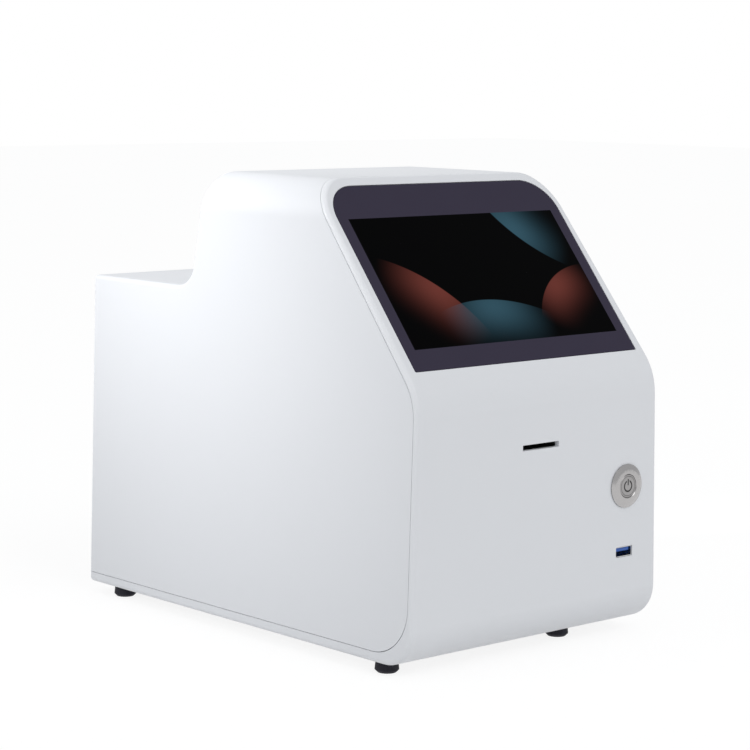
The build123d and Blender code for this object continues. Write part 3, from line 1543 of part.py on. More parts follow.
with BuildPart() as inlet_pins:
    pin_start = rear_face - inlet_depth - pin_tail
    pin_end = cavity_floor + pin_reach
    for pin_place in pin_places:
        slab(station(pin_start), pin_place, (pin_thickness, pin_tall), pin_start - pin_end)
save("inlet_pins", inlet_pins)

# Power switch: frame with a round well, and the rocker on its pivots
rocker_place = (rocker_axis, switch_height)
with BuildPart() as switch_frame:
    switch_flange_size = (switch_flange_width, switch_flange_tall)
    slab(station(rear_face), switch_place, switch_flange_size, -switch_flange, corner=part_corner)
    slab(station(rear_face), switch_place, switch_body, switch_body_depth)
    well_width = rocker_width + 2 * rocker_gap
    well_plane = section(inlet_x - well_width / 2)
    discs(well_plane, [rocker_place], rocker_radius + rocker_gap, well_width, Mode.SUBTRACT)
    pivot_hole = rocker_width + 2 * pivot_length + 2 * running_gap
    pivot_plane = section(inlet_x - pivot_hole / 2)
    discs(pivot_plane, [rocker_place], pivot_radius + running_gap, pivot_hole, Mode.SUBTRACT)
save("switch_frame", switch_frame)

with BuildPart() as power_rocker:
    tilt = radians(rocker_tilt)
    pivot_height = foot_height + switch_height
    rocker_origin = (inlet_x - rocker_width / 2, front_y + rocker_axis, pivot_height)
    tilted = Plane(origin=rocker_origin, x_dir=(0, cos(tilt), sin(tilt)), z_dir=(1, 0, 0))
    with BuildSketch(tilted) as rocker_profile:
        Circle(rocker_radius)
        wing = rocker_radius * tan(tilt)
        with BuildLine():
            Polyline(
                (rocker_face + wing, rocker_radius),
                (rocker_face, 0),
                (rocker_face + wing, -rocker_radius),
                (2 * rocker_radius, -rocker_radius),
                (2 * rocker_radius, rocker_radius),
                close=True,
            )
        make_face(mode=Mode.SUBTRACT)
    extrude(rocker_profile.sketch, amount=rocker_width)
    pivot_width = rocker_width + 2 * pivot_length
    pivot_plane = section(inlet_x - pivot_width / 2)
    discs(pivot_plane, [rocker_place], pivot_radius, pivot_width)
save("power_rocker", power_rocker)
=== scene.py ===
import json
import logging
import math
from dataclasses import dataclass
from enum import Enum
from typing import Sequence

import bpy
from mathutils import Matrix, Vector


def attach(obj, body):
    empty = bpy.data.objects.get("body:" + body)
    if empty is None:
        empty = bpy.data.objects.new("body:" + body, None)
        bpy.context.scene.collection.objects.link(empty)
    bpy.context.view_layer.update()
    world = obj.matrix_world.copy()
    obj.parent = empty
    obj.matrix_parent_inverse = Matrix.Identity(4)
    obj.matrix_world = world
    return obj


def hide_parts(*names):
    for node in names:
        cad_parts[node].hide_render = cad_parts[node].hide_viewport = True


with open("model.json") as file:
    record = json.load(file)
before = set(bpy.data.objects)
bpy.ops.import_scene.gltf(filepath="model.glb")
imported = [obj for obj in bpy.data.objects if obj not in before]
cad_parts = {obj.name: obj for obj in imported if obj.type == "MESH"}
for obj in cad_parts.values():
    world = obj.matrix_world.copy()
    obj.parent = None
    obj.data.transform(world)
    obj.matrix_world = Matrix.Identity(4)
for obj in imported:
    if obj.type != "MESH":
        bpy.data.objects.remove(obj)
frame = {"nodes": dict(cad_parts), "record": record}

log = logging.getLogger("cell_counter")
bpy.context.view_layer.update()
MM = 0.001
BODY_OF = {node: body for body, nodes in frame["record"]["behaviour"]["bodies"].items() for node in nodes}
Colour = tuple[float, float, float]
Point = tuple[float, float, float]
WHITE: Colour = (1.0, 1.0, 1.0)
BLACK: Colour = (0.0, 0.0, 0.0)


def linear(red: int, green: int, blue: int) -> Colour:
    """Turn a colour seen on a screen into the linear light that shaders take.

    Args:
        red: the red channel, 0 to 255.
        green: the green channel, 0 to 255.
        blue: the blue channel, 0 to 255.
    Returns:
        The linear colour.
    """
    steps = [channel / 255 for channel in (red, green, blue)]
    return tuple(s / 12.92 if s <= 0.04045 else ((s + 0.055) / 1.055) ** 2.4 for s in steps)


def scaled(colour: Colour, factor: float) -> Colour:
    """Make a colour lighter or darker.

    Args:
        colour: the linear colour.
        factor: what each channel is multiplied by.
    Returns:
        The colour, with no channel over 1.
    """
    return tuple(min(1.0, channel * factor) for channel in colour)


class Place(Enum):
    """Where the housing's parts lie, in millimetres of the shared frame."""

    FRONT = -146.0
    FOOT = 6.5
    BEND = 152.1


class Value:
    """One number socket of a shader; arithmetic on it adds Math nodes."""

    def __init__(self, tree: "Tree", socket: bpy.types.NodeSocket) -> None:
        """Keep the socket and its tree.

        Args:
            tree: the node tree that the socket belongs to.
            socket: the socket that carries the number.
        """
        self.tree = tree
        self.socket = socket

    def _math(self, operation: str, *others: "Value | float", first: float | None = None) -> "Value":
        """Add one Math node.

        Args:
            operation: the Math node's operation.
            others: the second and third operands.
            first: an operand that goes before this value.
        Returns:
            The node's result.
        """
        operands = (self, *others) if first is None else (first, self, *others)
        return self.tree.value("ShaderNodeMath", {"operation": operation}, operands)

    def __add__(self, other: "Value | float") -> "Value":
        """Sum."""
        return self._math("ADD", other)

    __radd__ = __add__

    def __sub__(self, other: "Value | float") -> "Value":
        """Difference."""
        return self._math("SUBTRACT", other)

    def __rsub__(self, other: float) -> "Value":
        """Difference from a number."""
        return self._math("SUBTRACT", first=other)

    def __mul__(self, other: "Value | float") -> "Value":
        """Product."""
        return self._math("MULTIPLY", other)

    __rmul__ = __mul__

    def __truediv__(self, other: "Value | float") -> "Value":
        """Quotient."""
        return self._math("DIVIDE", other)

    def __rtruediv__(self, other: float) -> "Value":
        """A number over this value."""
        return self._math("DIVIDE", first=other)

    def __pow__(self, other: "Value | float") -> "Value":
        """Power."""
        return self._math("POWER", other)

    def __abs__(self) -> "Value":
        """Size without the sign."""
        return self._math("ABSOLUTE")

    def __lt__(self, other: "Value | float") -> "Value":
        """1 where this value is the smaller one."""
        return self._math("LESS_THAN", other)

    def __gt__(self, other: "Value | float") -> "Value":
        """1 where this value is the larger one."""
        return self._math("GREATER_THAN", other)

    def root(self) -> "Value":
        """Square root."""
        return self._math("SQRT")

    def sine(self) -> "Value":
        """Sine."""
        return self._math("SINE")

    def most(self, other: "Value | float") -> "Value":
        """The larger of two."""
        return self._math("MAXIMUM", other)

    def step(self, low: float, high: float) -> "Value":
        """Step smoothly from 0 to 1.

        Args:
            low: where the step is 0; it may be the larger number.
            high: where the step is 1.
        Returns:
            The step's height.
        """
        settings = {"interpolation_type": "SMOOTHSTEP"}
        if low < high:
            return self.tree.value("ShaderNodeMapRange", settings, (self, low, high, 0.0, 1.0))
        return self.tree.value("ShaderNodeMapRange", settings, (self, high, low, 1.0, 0.0))

    def band(self, middle: float, half: float, soft: float) -> "Value":
        """Mark a band of values.

        Args:
            middle: the band's middle.
            half: half of its width.
            soft: half of the width of its soft edges.
        Returns:
            1 in the band and 0 outside it.
        """
        return abs(self - middle).step(half + soft, half - soft)


def distance(across: Value, along: Value, centre: tuple[float, float]) -> Value:
    """Measure from a centre.

    Args:
        across: the first coordinate.
        along: the second coordinate.
        centre: the centre's two coordinates.
    Returns:
        The distance.
    """
    return ((across - centre[0]) ** 2.0 + (along - centre[1]) ** 2.0).root()


class Tree:
    """A node tree, with one way to add a node and to feed its sockets."""

    def __init__(self, tree: bpy.types.NodeTree) -> None:
        """Keep the tree.

        Args:
            tree: the nodes of a material or of the surroundings.
        """
        self.tree = tree

    def node(self, kind: str, settings: dict, inputs: Sequence | dict = ()) -> bpy.types.Node:
        """Add any node.

        Args:
            kind: the node's type.
            settings: its own properties, set before its sockets.
            inputs: values or links, in socket order or by socket name.
        Returns:
            The new node.
        """
        made = self.tree.nodes.new(kind)
        for key, setting in settings.items():
            setattr(made, key, setting)
        pairs = inputs.items() if isinstance(inputs, dict) else enumerate(inputs)
        for key, given in pairs:
            self.feed(made.inputs[key], given)
        return made

    def feed(self, socket: bpy.types.NodeSocket, given: object) -> None:
        """Link to a socket, or set a number or colour on it.

        Args:
            socket: the socket that is fed.
            given: a value, another socket, a number or a colour.
        """
        if isinstance(given, Value):
            self.tree.links.new(given.socket, socket)
        elif isinstance(given, bpy.types.NodeSocket):
            self.tree.links.new(given, socket)
        elif socket.type == "RGBA" and len(given) == 3:
            socket.default_value = (*given, 1.0)
        else:
            socket.default_value = given

    def value(self, kind: str, settings: dict, inputs: Sequence | dict) -> Value:
        """Add a node whose first output is a number.

        Args:
            kind: the node's type.
            settings: its own properties.
            inputs: values or links.
        Returns:
            The first output.
        """
        return Value(self, self.node(kind, settings, inputs).outputs[0])


class Graph(Tree):
    """A material's node tree round one Principled shader."""

    def __init__(self, name: str) -> None:
        """Make an empty material.

        Args:
            name: the material's name.
        """
        self.material = bpy.data.materials.new(name)
        self.material.use_nodes = True
        super().__init__(self.material.node_tree)
        self.shader = next(n for n in self.tree.nodes if n.type == "BSDF_PRINCIPLED")
        self.output = next(n for n in self.tree.nodes if n.type == "OUTPUT_MATERIAL")
        self._axes: tuple[Value, Value, Value] | None = None

    def place(self) -> bpy.types.NodeSocket:
        """Find the surface point in the shared frame.

        Returns:
            The point's socket, in metres.
        """
        return self.node("ShaderNodeTexCoord", {}).outputs["Object"]

    def axes(self) -> tuple[Value, Value, Value]:
        """Split the surface point.

        Returns:
            Its X, Y and Z in millimetres.
        """
        if self._axes is None:
            split = self.node("ShaderNodeSeparateXYZ", {}, (self.place(),))
            self._axes = tuple(Value(self, socket) * 1000.0 for socket in split.outputs)
        return self._axes

    def noise(self, size: float, detail: float = 2.0, stretch: Point = (1.0, 1.0, 1.0)) -> Value:
        """Add noise.

        Args:
            size: the grain's size in millimetres.
            detail: how many finer layers it has.
            stretch: factors on the three axes.
        Returns:
            The noise, between 0 and 1.
        """
        mapping = self.node("ShaderNodeMapping", {}, {"Vector": self.place(), "Scale": stretch})
        inputs = {"Vector": mapping.outputs[0], "Scale": 1000.0 / size, "Detail": detail, "Roughness": 0.55}
        return self.value("ShaderNodeTexNoise", {"noise_dimensions": "3D"}, inputs)

    def blend(self, share: Value | float, low: object, high: object) -> bpy.types.NodeSocket:
        """Mix two colours.

        Args:
            share: 0 gives the first colour and 1 the second.
            low: the first colour.
            high: the second colour.
        Returns:
            The mixed colour.
        """
        made = self.node("ShaderNodeMix", {"data_type": "RGBA", "blend_type": "MIX"})
        self.feed(made.inputs[0], share)
        self.feed(made.inputs[6], low)
        self.feed(made.inputs[7], high)
        return made.outputs[2]

    def bump(self, height: Value, depth: float) -> None:
        """Shade the surface by a height.

        Args:
            height: the height, between 0 and 1.
            depth: what a height of 1 stands for, in millimetres.
        """
        made = self.node("ShaderNodeBump", {}, {"Strength": 1.0, "Distance": depth * MM, "Height": height})
        self.feed(self.shader.inputs["Normal"], made.outputs[0])

    def set(self, **sockets: object) -> None:
        """Set or link the shader's sockets.

        Args:
            sockets: what each takes, named with underscores for spaces.
        """
        for name, given in sockets.items():
            self.feed(self.shader.inputs[name.replace("_", " ")], given)


class Finish:
    """What every finish shares: it is made once and then kept."""

    made: dict["Finish", bpy.types.Material] = {}

    def material(self) -> bpy.types.Material:
        """Give the finish's material, built at the first call.

        Returns:
            The material.
        """
        if self not in Finish.made:
            Finish.made[self] = self.build()
        return Finish.made[self]

    def build(self) -> bpy.types.Material:
        """Build the material."""
        raise NotImplementedError


@dataclass(frozen=True)
class Moulded(Finish):
    """Moulded or sprayed plastic with a fine grain and slight tone changes."""

    name: str
    colour: Colour
    rough: float
    grain: float
    depth: float
    tone: float
    patch: float = 60.0
    coarse: float = 6.0

    def build(self) -> bpy.types.Material:
        """Grain from fine noise, with broad noise for tone and gloss."""
        graph = Graph(self.name)
        broad = graph.noise(self.patch, 3.0)
        fine = graph.noise(self.grain)
        speck = graph.noise(self.grain * self.coarse)
        shade = scaled(self.colour, 1 - self.tone)
        lift = scaled(self.colour, 1 + self.tone)
        graph.set(
            Base_Color=graph.blend(broad * 0.75 + speck * 0.25, shade, lift),
            Roughness=broad * 0.08 + fine * 0.06 + (self.rough - 0.07),
        )
        graph.bump(fine * 0.6 + speck * 0.4, self.depth)
        return graph.material


@dataclass(frozen=True)
class Disc:
    """A disc of light in the display's picture, in half heights of the picture."""

    centre: tuple[float, float]
    radius: float
    rim: float
    glow: tuple[float, float]
    spread: float
    colour: Colour


WARM = linear(104, 52, 45)
COOL = linear(50, 82, 96)
PICTURE = (
    Disc((-2.35, -1.55), 2.05, 0.95, (-0.95, -0.15), 0.95, WARM),
    Disc((-0.30, -2.70), 2.35, 0.85, (-0.15, -0.60), 1.00, COOL),
    Disc((2.55, 1.95), 2.10, 1.00, (0.95, 0.75), 0.95, COOL),
    Disc((1.90, -1.35), 1.45, 0.80, (1.20, -0.25), 0.75, WARM),
)


@dataclass(frozen=True)
class PrintedGlass(Finish):
    """Cover glass: dark print round the edge, the lit picture in the middle."""

    name: str = "printed_cover_glass"
    print_colour: Colour = linear(61, 57, 72)
    print_change: float = 0.03
    off_colour: Colour = (0.001, 0.001, 0.0012)
    half_width: float = 78.2
    half_height: float = 42.9
    middle: float = 72.3
    slant: float = 39.5
    edge: float = 0.003
    haze_size: float = 25.0
    rough: float = 0.10
    specular: float = 0.012

    def build(self) -> bpy.types.Material:
        """The print is a colour; the picture is light from behind the glass."""
        graph = Graph(self.name)
        x, y, z = graph.axes()
        slant = math.radians(self.slant)
        up = (y - Place.FRONT.value) * math.sin(slant) + (z - Place.BEND.value) * math.cos(slant)
        across = x / self.half_height
        along = (up - self.middle) / self.half_height
        shape = self.half_width / self.half_height
        lit = across.band(0.0, shape, self.edge) * along.band(0.0, 1.0, self.edge)
        picture: object = BLACK
        for disc in PICTURE:
            reach = distance(across, along, disc.centre)
            inside = reach.step(disc.radius + 2 * self.edge, disc.radius - 2 * self.edge)
            rim = reach.step(disc.radius - disc.rim, disc.radius)
            glow = distance(across, along, disc.glow).step(disc.spread, 0.0)
            picture = graph.blend(inside * rim * glow, picture, disc.colour)
        haze = graph.noise(self.haze_size)
        low = scaled(self.print_colour, 1 - self.print_change)
        high = scaled(self.print_colour, 1 + self.print_change)
        graph.set(
            Base_Color=graph.blend(lit, graph.blend(haze, low, high), self.off_colour),
            Emission_Color=graph.blend(lit, BLACK, picture),
            Emission_Strength=1.0,
            Roughness=haze * 0.03 + self.rough,
            Specular_IOR_Level=self.specular,
        )
        return graph.material


class Grain(Enum):
    """The way a metal's working marks run."""

    TURNED = "turned"
    ALONG_X = "along_x"
    ALONG_Y = "along_y"
    CAST = "cast"


@dataclass(frozen=True)
class Metal(Finish):
    """Bare or plated metal with its working marks."""

    name: str
    colour: Colour
    rough: float
    marks: Grain
    centre: tuple[float, float] = (0.0, 0.0)
    depth: float = 0.004
    grooves: float = 14.0
    drawn: float = 0.03
    smear_size: float = 14.0

    def build(self) -> bpy.types.Material:
        """Marks are rings about the centre, lines along an axis, or a cast skin."""
        graph = Graph(self.name)
        if self.marks is Grain.TURNED:
            x, _, z = graph.axes()
            cut = (distance(x, z, self.centre) * self.grooves).sine() * 0.5 + 0.5
            wave = cut * 0.6 + graph.noise(1.2, 3.0) * 0.4
        elif self.marks is Grain.CAST:
            wave = graph.noise(1.6, 4.0)
        else:
            stretch = (self.drawn, 1.0, 1.0) if self.marks is Grain.ALONG_X else (1.0, self.drawn, 1.0)
            wave = graph.noise(0.5, 3.0, stretch)
        smear = graph.noise(self.smear_size, 3.0)
        graph.set(
            Base_Color=graph.blend(smear * 0.6 + wave * 0.4, scaled(self.colour, 0.88), self.colour),
            Metallic=1.0,
            Roughness=wave * 0.10 + smear * 0.08 + (self.rough - 0.09),
        )
        graph.bump(wave, self.depth)
        return graph.material


@dataclass(frozen=True)
class PowerPlunger(Finish):
    """Turned plunger face with a cut power sign: a broken ring and a bar."""

    name: str = "power_plunger_steel"
    centre: tuple[float, float] = (68.6, 88.6)
    colour: Colour = linear(168, 166, 166)
    ring_radius: float = 3.0
    line: float = 0.42
    soft: float = 0.08
    gap: float = 1.15
    gap_soft: float = 0.05
    bar_middle: float = 2.3
    bar_half: float = 1.75
    rim_radius: float = 5.6
    rim_line: float = 0.16
    rim_soft: float = 0.06
    grooves: float = 12.0
    depth: float = 0.18

    def build(self) -> bpy.types.Material:
        """The sign is darker, rougher and sunk below the turned face."""
        graph = Graph(self.name)
        x, _, z = graph.axes()
        across = x - self.centre[0]
        up = z - self.centre[1]
        reach = distance(x, z, self.centre)
        gap = across.band(0.0, self.gap, self.gap_soft) * (up > 0.0)
        ring = reach.band(self.ring_radius, self.line, self.soft) * (1.0 - gap)
        bar = across.band(0.0, self.line, self.soft) * up.band(self.bar_middle, self.bar_half, self.soft)
        sign = ring.most(bar)
        rim = reach.band(self.rim_radius, self.rim_line, self.rim_soft)
        cut = (reach * self.grooves).sine() * 0.5 + 0.5
        smear = graph.noise(4.0, 3.0)
        face = graph.blend(smear, scaled(self.colour, 0.86), self.colour)
        graph.set(
            Base_Color=graph.blend(sign.most(rim * 0.6), face, scaled(self.colour, 0.16)),
            Metallic=1.0,
            Roughness=sign * 0.30 + cut * 0.05 + 0.26,
        )
        graph.bump((1.0 - sign.most(rim)) * 0.9 + cut * 0.02 + smear * 0.02, self.depth)
        return graph.material


@dataclass(frozen=True)
class Rubber(Finish):
    """Matt moulded rubber with a dusty bloom."""

    name: str
    colour: Colour
    rough: float
    pit: float = 0.4
    patch: float = 7.0
    depth: float = 0.03

    def build(self) -> bpy.types.Material:
        """Fine pitting and a bloom that lightens the tone in patches."""
        graph = Graph(self.name)
        pits = graph.noise(self.pit, 3.0)
        bloom = graph.noise(self.patch, 3.0)
        pale = tuple(channel * 1.5 + 0.004 for channel in self.colour)
        graph.set(
            Base_Color=graph.blend(bloom.step(0.45, 0.8), self.colour, pale),
            Roughness=pits * 0.12 + (self.rough - 0.05),
            Specular_IOR_Level=0.4,
        )
        graph.bump(pits, self.depth)
        return graph.material


@dataclass(frozen=True)
class CircuitBoard(Finish):
    """Solder mask with copper tracks below a height, dark components above it."""

    name: str
    top: float
    mask: Colour = linear(20, 84, 52)
    copper: Colour = linear(44, 128, 84)
    dark_part: Colour = linear(26, 26, 28)
    pale_part: Colour = linear(46, 46, 49)
    lattice: float = 2.4
    wander: float = 6.0
    track: tuple[float, float] = (0.72, 0.86)

    def build(self) -> bpy.types.Material:
        """Tracks follow a square lattice broken by noise."""
        graph = Graph(self.name)
        x, y, z = graph.axes()
        wander = graph.noise(9.0, 1.0)
        lattice_x = ((x + wander * self.wander) * self.lattice).sine().step(*self.track)
        lattice_y = ((y + wander * self.wander) * self.lattice).sine().step(*self.track)
        choose = graph.noise(16.0, 0.0).step(0.49, 0.51)
        tracks = lattice_x * choose + lattice_y * (1.0 - choose)
        board = graph.blend(tracks * 0.7, self.mask, self.copper)
        parts = z.step(self.top + 0.05, self.top + 0.1)
        tone = graph.blend(graph.noise(5.0), self.dark_part, self.pale_part)
        graph.set(
            Base_Color=graph.blend(parts, board, tone),
            Roughness=parts * 0.2 + graph.noise(2.0) * 0.08 + 0.3,
        )
        graph.bump(tracks * (1.0 - parts), 0.03)
        return graph.material


@dataclass(frozen=True)
class OpticalGlass(Finish):
    """Clear ground glass with a faint tint."""

    name: str = "optical_glass"
    tint: Colour = (0.90, 0.95, 0.96)
    clear: Colour = (0.96, 0.99, 1.0)
    index: float = 1.52

    def build(self) -> bpy.types.Material:
        """Clear throughout, with noise in the tint and the gloss."""
        graph = Graph(self.name)
        graph.set(
            Base_Color=graph.blend(graph.noise(3.0), self.tint, self.clear),
            Roughness=graph.noise(1.0) * 0.03,
            Transmission_Weight=1.0,
            IOR=self.index,
        )
        return graph.material


class Finishes(Enum):
    """Every finish on the instrument."""

    HOUSING = Moulded("housing_plastic", linear(229, 231, 235), 0.40, 0.45, 0.012, 0.012)
    COVER_GLASS = PrintedGlass()
    BLACK_PLASTIC = Moulded("black_plastic", linear(34, 34, 37), 0.5, 0.6, 0.03, 0.12)
    REAR_SHEET = Moulded("rear_sheet", linear(150, 153, 158), 0.55, 0.9, 0.05, 0.05)
    BLUE_PLASTIC = Moulded("blue_plastic", linear(38, 92, 178), 0.35, 0.3, 0.01, 0.06)
    DISPLAY = Moulded("display_panel", linear(30, 30, 34), 0.3, 0.8, 0.01, 0.1)
    ADHESIVE = Rubber("black_adhesive", linear(26, 26, 28), 0.7)
    FEET = Rubber("foot_rubber", linear(14, 14, 28), 0.66)
    SEAL = Rubber("seal_rubber", linear(30, 30, 32), 0.5)
    BEZEL = Metal("turned_bezel", linear(186, 184, 184), 0.22, Grain.TURNED, (68.6, 88.6), 0.006)
    PLUNGER = PowerPlunger()
    SHEET_STEEL = Metal("plated_sheet", linear(190, 192, 194), 0.34, Grain.ALONG_X)
    SOCKET_STEEL = Metal("socket_shell", linear(206, 207, 208), 0.24, Grain.ALONG_Y)
    SCREW_STEEL = Metal("screw_steel", linear(176, 178, 182), 0.30, Grain.CAST, depth=0.002)
    ALUMINIUM = Metal("machined_aluminium", linear(204, 206, 208), 0.38, Grain.ALONG_Y)
    BEARING_STEEL = Metal("ground_steel", linear(184, 187, 192), 0.22, Grain.ALONG_Y)
    BRASS = Metal("turned_brass", linear(214, 182, 112), 0.28, Grain.CAST)
    ANODISED = Moulded("black_anodised", linear(30, 30, 33), 0.42, 0.5, 0.02, 0.1)
    MOTOR = Moulded("motor_coat", linear(40, 40, 43), 0.46, 0.7, 0.03, 0.1)
    MAIN_BOARD = CircuitBoard("main_board_mask", 26.1)
    SOCKET_BOARD = CircuitBoard("socket_board_mask", 47.8)
    OPTICS = OpticalGlass()


class Bench:
    """Hand tools: selection, new pieces, skins and dressing."""

    @staticmethod
    def clear() -> None:
        """Leave edit mode and deselect everything."""
        if bpy.context.object and bpy.context.object.mode != "OBJECT":
            bpy.ops.object.mode_set(mode="OBJECT")
        bpy.ops.object.select_all(action="DESELECT")

    @staticmethod
    def only(piece: bpy.types.Object) -> None:
        """Make one piece the selected and active one.

        Args:
            piece: the piece.
        """
        Bench.clear()
        piece.select_set(True)
        bpy.context.view_layer.objects.active = piece

    @staticmethod
    def modify(piece: bpy.types.Object, kind: str, **settings: object) -> None:
        """Add a modifier and apply it.

        Args:
            piece: the piece.
            kind: the modifier's type.
            settings: its properties.
        """
        Bench.only(piece)
        modifier = piece.modifiers.new(kind.lower(), kind)
        for key, setting in settings.items():
            setattr(modifier, key, setting)
        bpy.ops.object.modifier_apply(modifier=modifier.name)

    @staticmethod
    def settle(piece: bpy.types.Object) -> None:
        """Move a piece's place, turn and scale into its mesh.

        Args:
            piece: the piece.
        """
        Bench.only(piece)
        bpy.ops.object.transform_apply(location=True, rotation=True, scale=True)

    @staticmethod
    def smooth(piece: bpy.types.Object, degrees: float = 30.0) -> None:
        """Shade smooth, with flat faces keeping their own direction.

        Args:
            piece: the piece.
            degrees: the sharpest angle that is shaded smooth.
        """
        Bench.only(piece)
        bpy.ops.object.shade_smooth_by_angle(angle=math.radians(degrees))
        Bench.modify(piece, "WEIGHTED_NORMAL", keep_sharp=True, mode="FACE_AREA", weight=100)

    @staticmethod
    def skin(node: str) -> bpy.types.Object:
        """Copy a CAD node as one merged shell with smooth rounds, and let it stand for the node.

        Args:
            node: the CAD node's name.
        Returns:
            The new piece.
        """
        piece = bpy.data.objects.new(f"{node}_skin", frame["nodes"][node].data.copy())
        bpy.context.scene.collection.objects.link(piece)
        Bench.only(piece)
        bpy.ops.mesh.customdata_custom_splitnormals_clear()
        bpy.ops.object.mode_set(mode="EDIT")
        bpy.ops.mesh.select_all(action="SELECT")
        bpy.ops.mesh.remove_doubles(threshold=0.000002)
        bpy.ops.object.mode_set(mode="OBJECT")
        Bench.smooth(piece)
        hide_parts(node)
        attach(piece, BODY_OF[node])
        return piece

    @staticmethod
    def dress(piece: bpy.types.Object, finish: Finishes) -> None:
        """Put one finish on a piece.

        Args:
            piece: the piece.
            finish: its finish.
        """
        piece.data.materials.clear()
        piece.data.materials.append(finish.value.material())
        for face in piece.data.polygons:
            face.material_index = 0


@dataclass
class Nodes:
    """CAD nodes that keep their shape, or get a smooth skin, listed by finish."""

    title: str
    finishes: dict[Finishes, tuple[str, ...]]
    skins: tuple[str, ...] = ()

    def build(self) -> None:
        """Skin and dress every node."""
        for finish, nodes in self.finishes.items():
            for node in nodes:
                piece = Bench.skin(node) if node in self.skins else frame["nodes"][node]
                Bench.dress(piece, finish)
                log.info("%s: %s in %s", self.title, piece.name, finish.name.lower())


@dataclass
class CrossScrews:
    """Pan-head screws with a cross recess, which stand for a CAD group; in millimetres."""

    node: str
    heads: list[Point]
    direction: Point
    radius: float = 2.9
    height: float = 1.8
    rounding: float = 0.28
    recess: float = 1.1
    cross: float = 1.25
    slot: float = 0.75
    shank: float = 1.5
    reach: float = 4.0
    first_turn: float = 0.35
    next_turn: float = 1.1
    smooth_angle: float = 35.0

    def model(self) -> bpy.types.Object:
        """Make one screw about the origin, with its head on +Z.

        Returns:
            The finished screw.
        """
        Bench.clear()
        bpy.ops.mesh.primitive_cylinder_add(
            vertices=40,
            radius=self.radius * MM,
            depth=self.height * MM,
            location=(0, 0, self.height / 2 * MM),
        )
        screw = bpy.context.object
        Bench.settle(screw)
        bpy.ops.object.mode_set(mode="EDIT")
        bpy.ops.mesh.select_all(action="DESELECT")
        bpy.ops.object.mode_set(mode="OBJECT")
        for edge in screw.data.edges:
            ends = [screw.data.vertices[i].co.z for i in edge.vertices]
            edge.select = min(ends) > (self.height - 0.01) * MM
        bpy.ops.object.mode_set(mode="EDIT")
        bpy.ops.mesh.bevel(offset=self.radius * self.rounding * MM, segments=4, affect="EDGES")
        bpy.ops.mesh.select_all(action="DESELECT")
        bpy.ops.object.mode_set(mode="OBJECT")
        low = min(screw.data.polygons, key=lambda face: face.center.z)
        low.select = True
        bpy.ops.object.mode_set(mode="EDIT")
        bpy.ops.mesh.inset(thickness=(self.radius - self.shank) * MM)
        bpy.ops.mesh.extrude_region_move(TRANSFORM_OT_translate={"value": (0, 0, -self.reach * MM)})
        bpy.ops.object.mode_set(mode="OBJECT")
        top = (0, 0, self.height * MM)
        for turn in (0.0, math.pi / 2):
            Bench.clear()
            bpy.ops.mesh.primitive_cube_add(size=1.0, location=top, rotation=(0, 0, turn))
            cutter = bpy.context.object
            cutter.scale = (self.radius * self.cross * MM, self.slot * MM, 2 * self.recess * MM)
            Bench.settle(cutter)
            Bench.modify(screw, "BOOLEAN", operation="DIFFERENCE", object=cutter, solver="EXACT")
            bpy.data.objects.remove(cutter)
        return screw

    def build(self) -> None:
        """Copy the screw to every head and join the copies."""
        pattern = self.model()
        turn = Vector((0, 0, 1)).rotation_difference(Vector(self.direction)).to_matrix().to_4x4()
        copies = []
        for index, head in enumerate(self.heads):
            copy = bpy.data.objects.new(f"{self.node}_copy", pattern.data.copy())
            bpy.context.scene.collection.objects.link(copy)
            twist = Matrix.Rotation(self.first_turn + self.next_turn * index, 4, "Z")
            copy.data.transform(Matrix.Translation(Vector(head) * MM) @ turn @ twist)
            copies.append(copy)
        Bench.only(copies[0])
        for copy in copies:
            copy.select_set(True)
        bpy.ops.object.join()
        group = bpy.context.object
        group.name = f"{self.node}_cross_heads"
        bpy.data.objects.remove(pattern)
        Bench.smooth(group, self.smooth_angle)
        Bench.dress(group, Finishes.SCREW_STEEL)
        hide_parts(self.node)
        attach(group, BODY_OF[self.node])
        log.info("screws: %s, %d heads", group.name, len(self.heads))


@dataclass(frozen=True)
class Lamp:
    """A lamp that faces a point: a square soft one, or a round beam with a soft edge.

    Places and size are in metres, power in watts, and beam is a beam's full angle in degrees.
    """

    name: str
    spot: Point
    aim: Point
    size: float
    power: float
    beam: float = 0.0

    def hang(self) -> None:
        """Make the lamp and turn it to its point."""
        data = bpy.data.lights.new(self.name, "SPOT" if self.beam else "AREA")
        data.energy = self.power
        if self.beam:
            data.spot_size = math.radians(self.beam)
            data.spot_blend = 1.0
            data.shadow_soft_size = self.size
        else:
            data.shape = "SQUARE"
            data.size = self.size
        made = bpy.data.objects.new(self.name, data)
        made.location = self.spot
        made.rotation_euler = (Vector(self.aim) - Vector(self.spot)).to_track_quat("-Z", "Y").to_euler()
        bpy.context.scene.collection.objects.link(made)


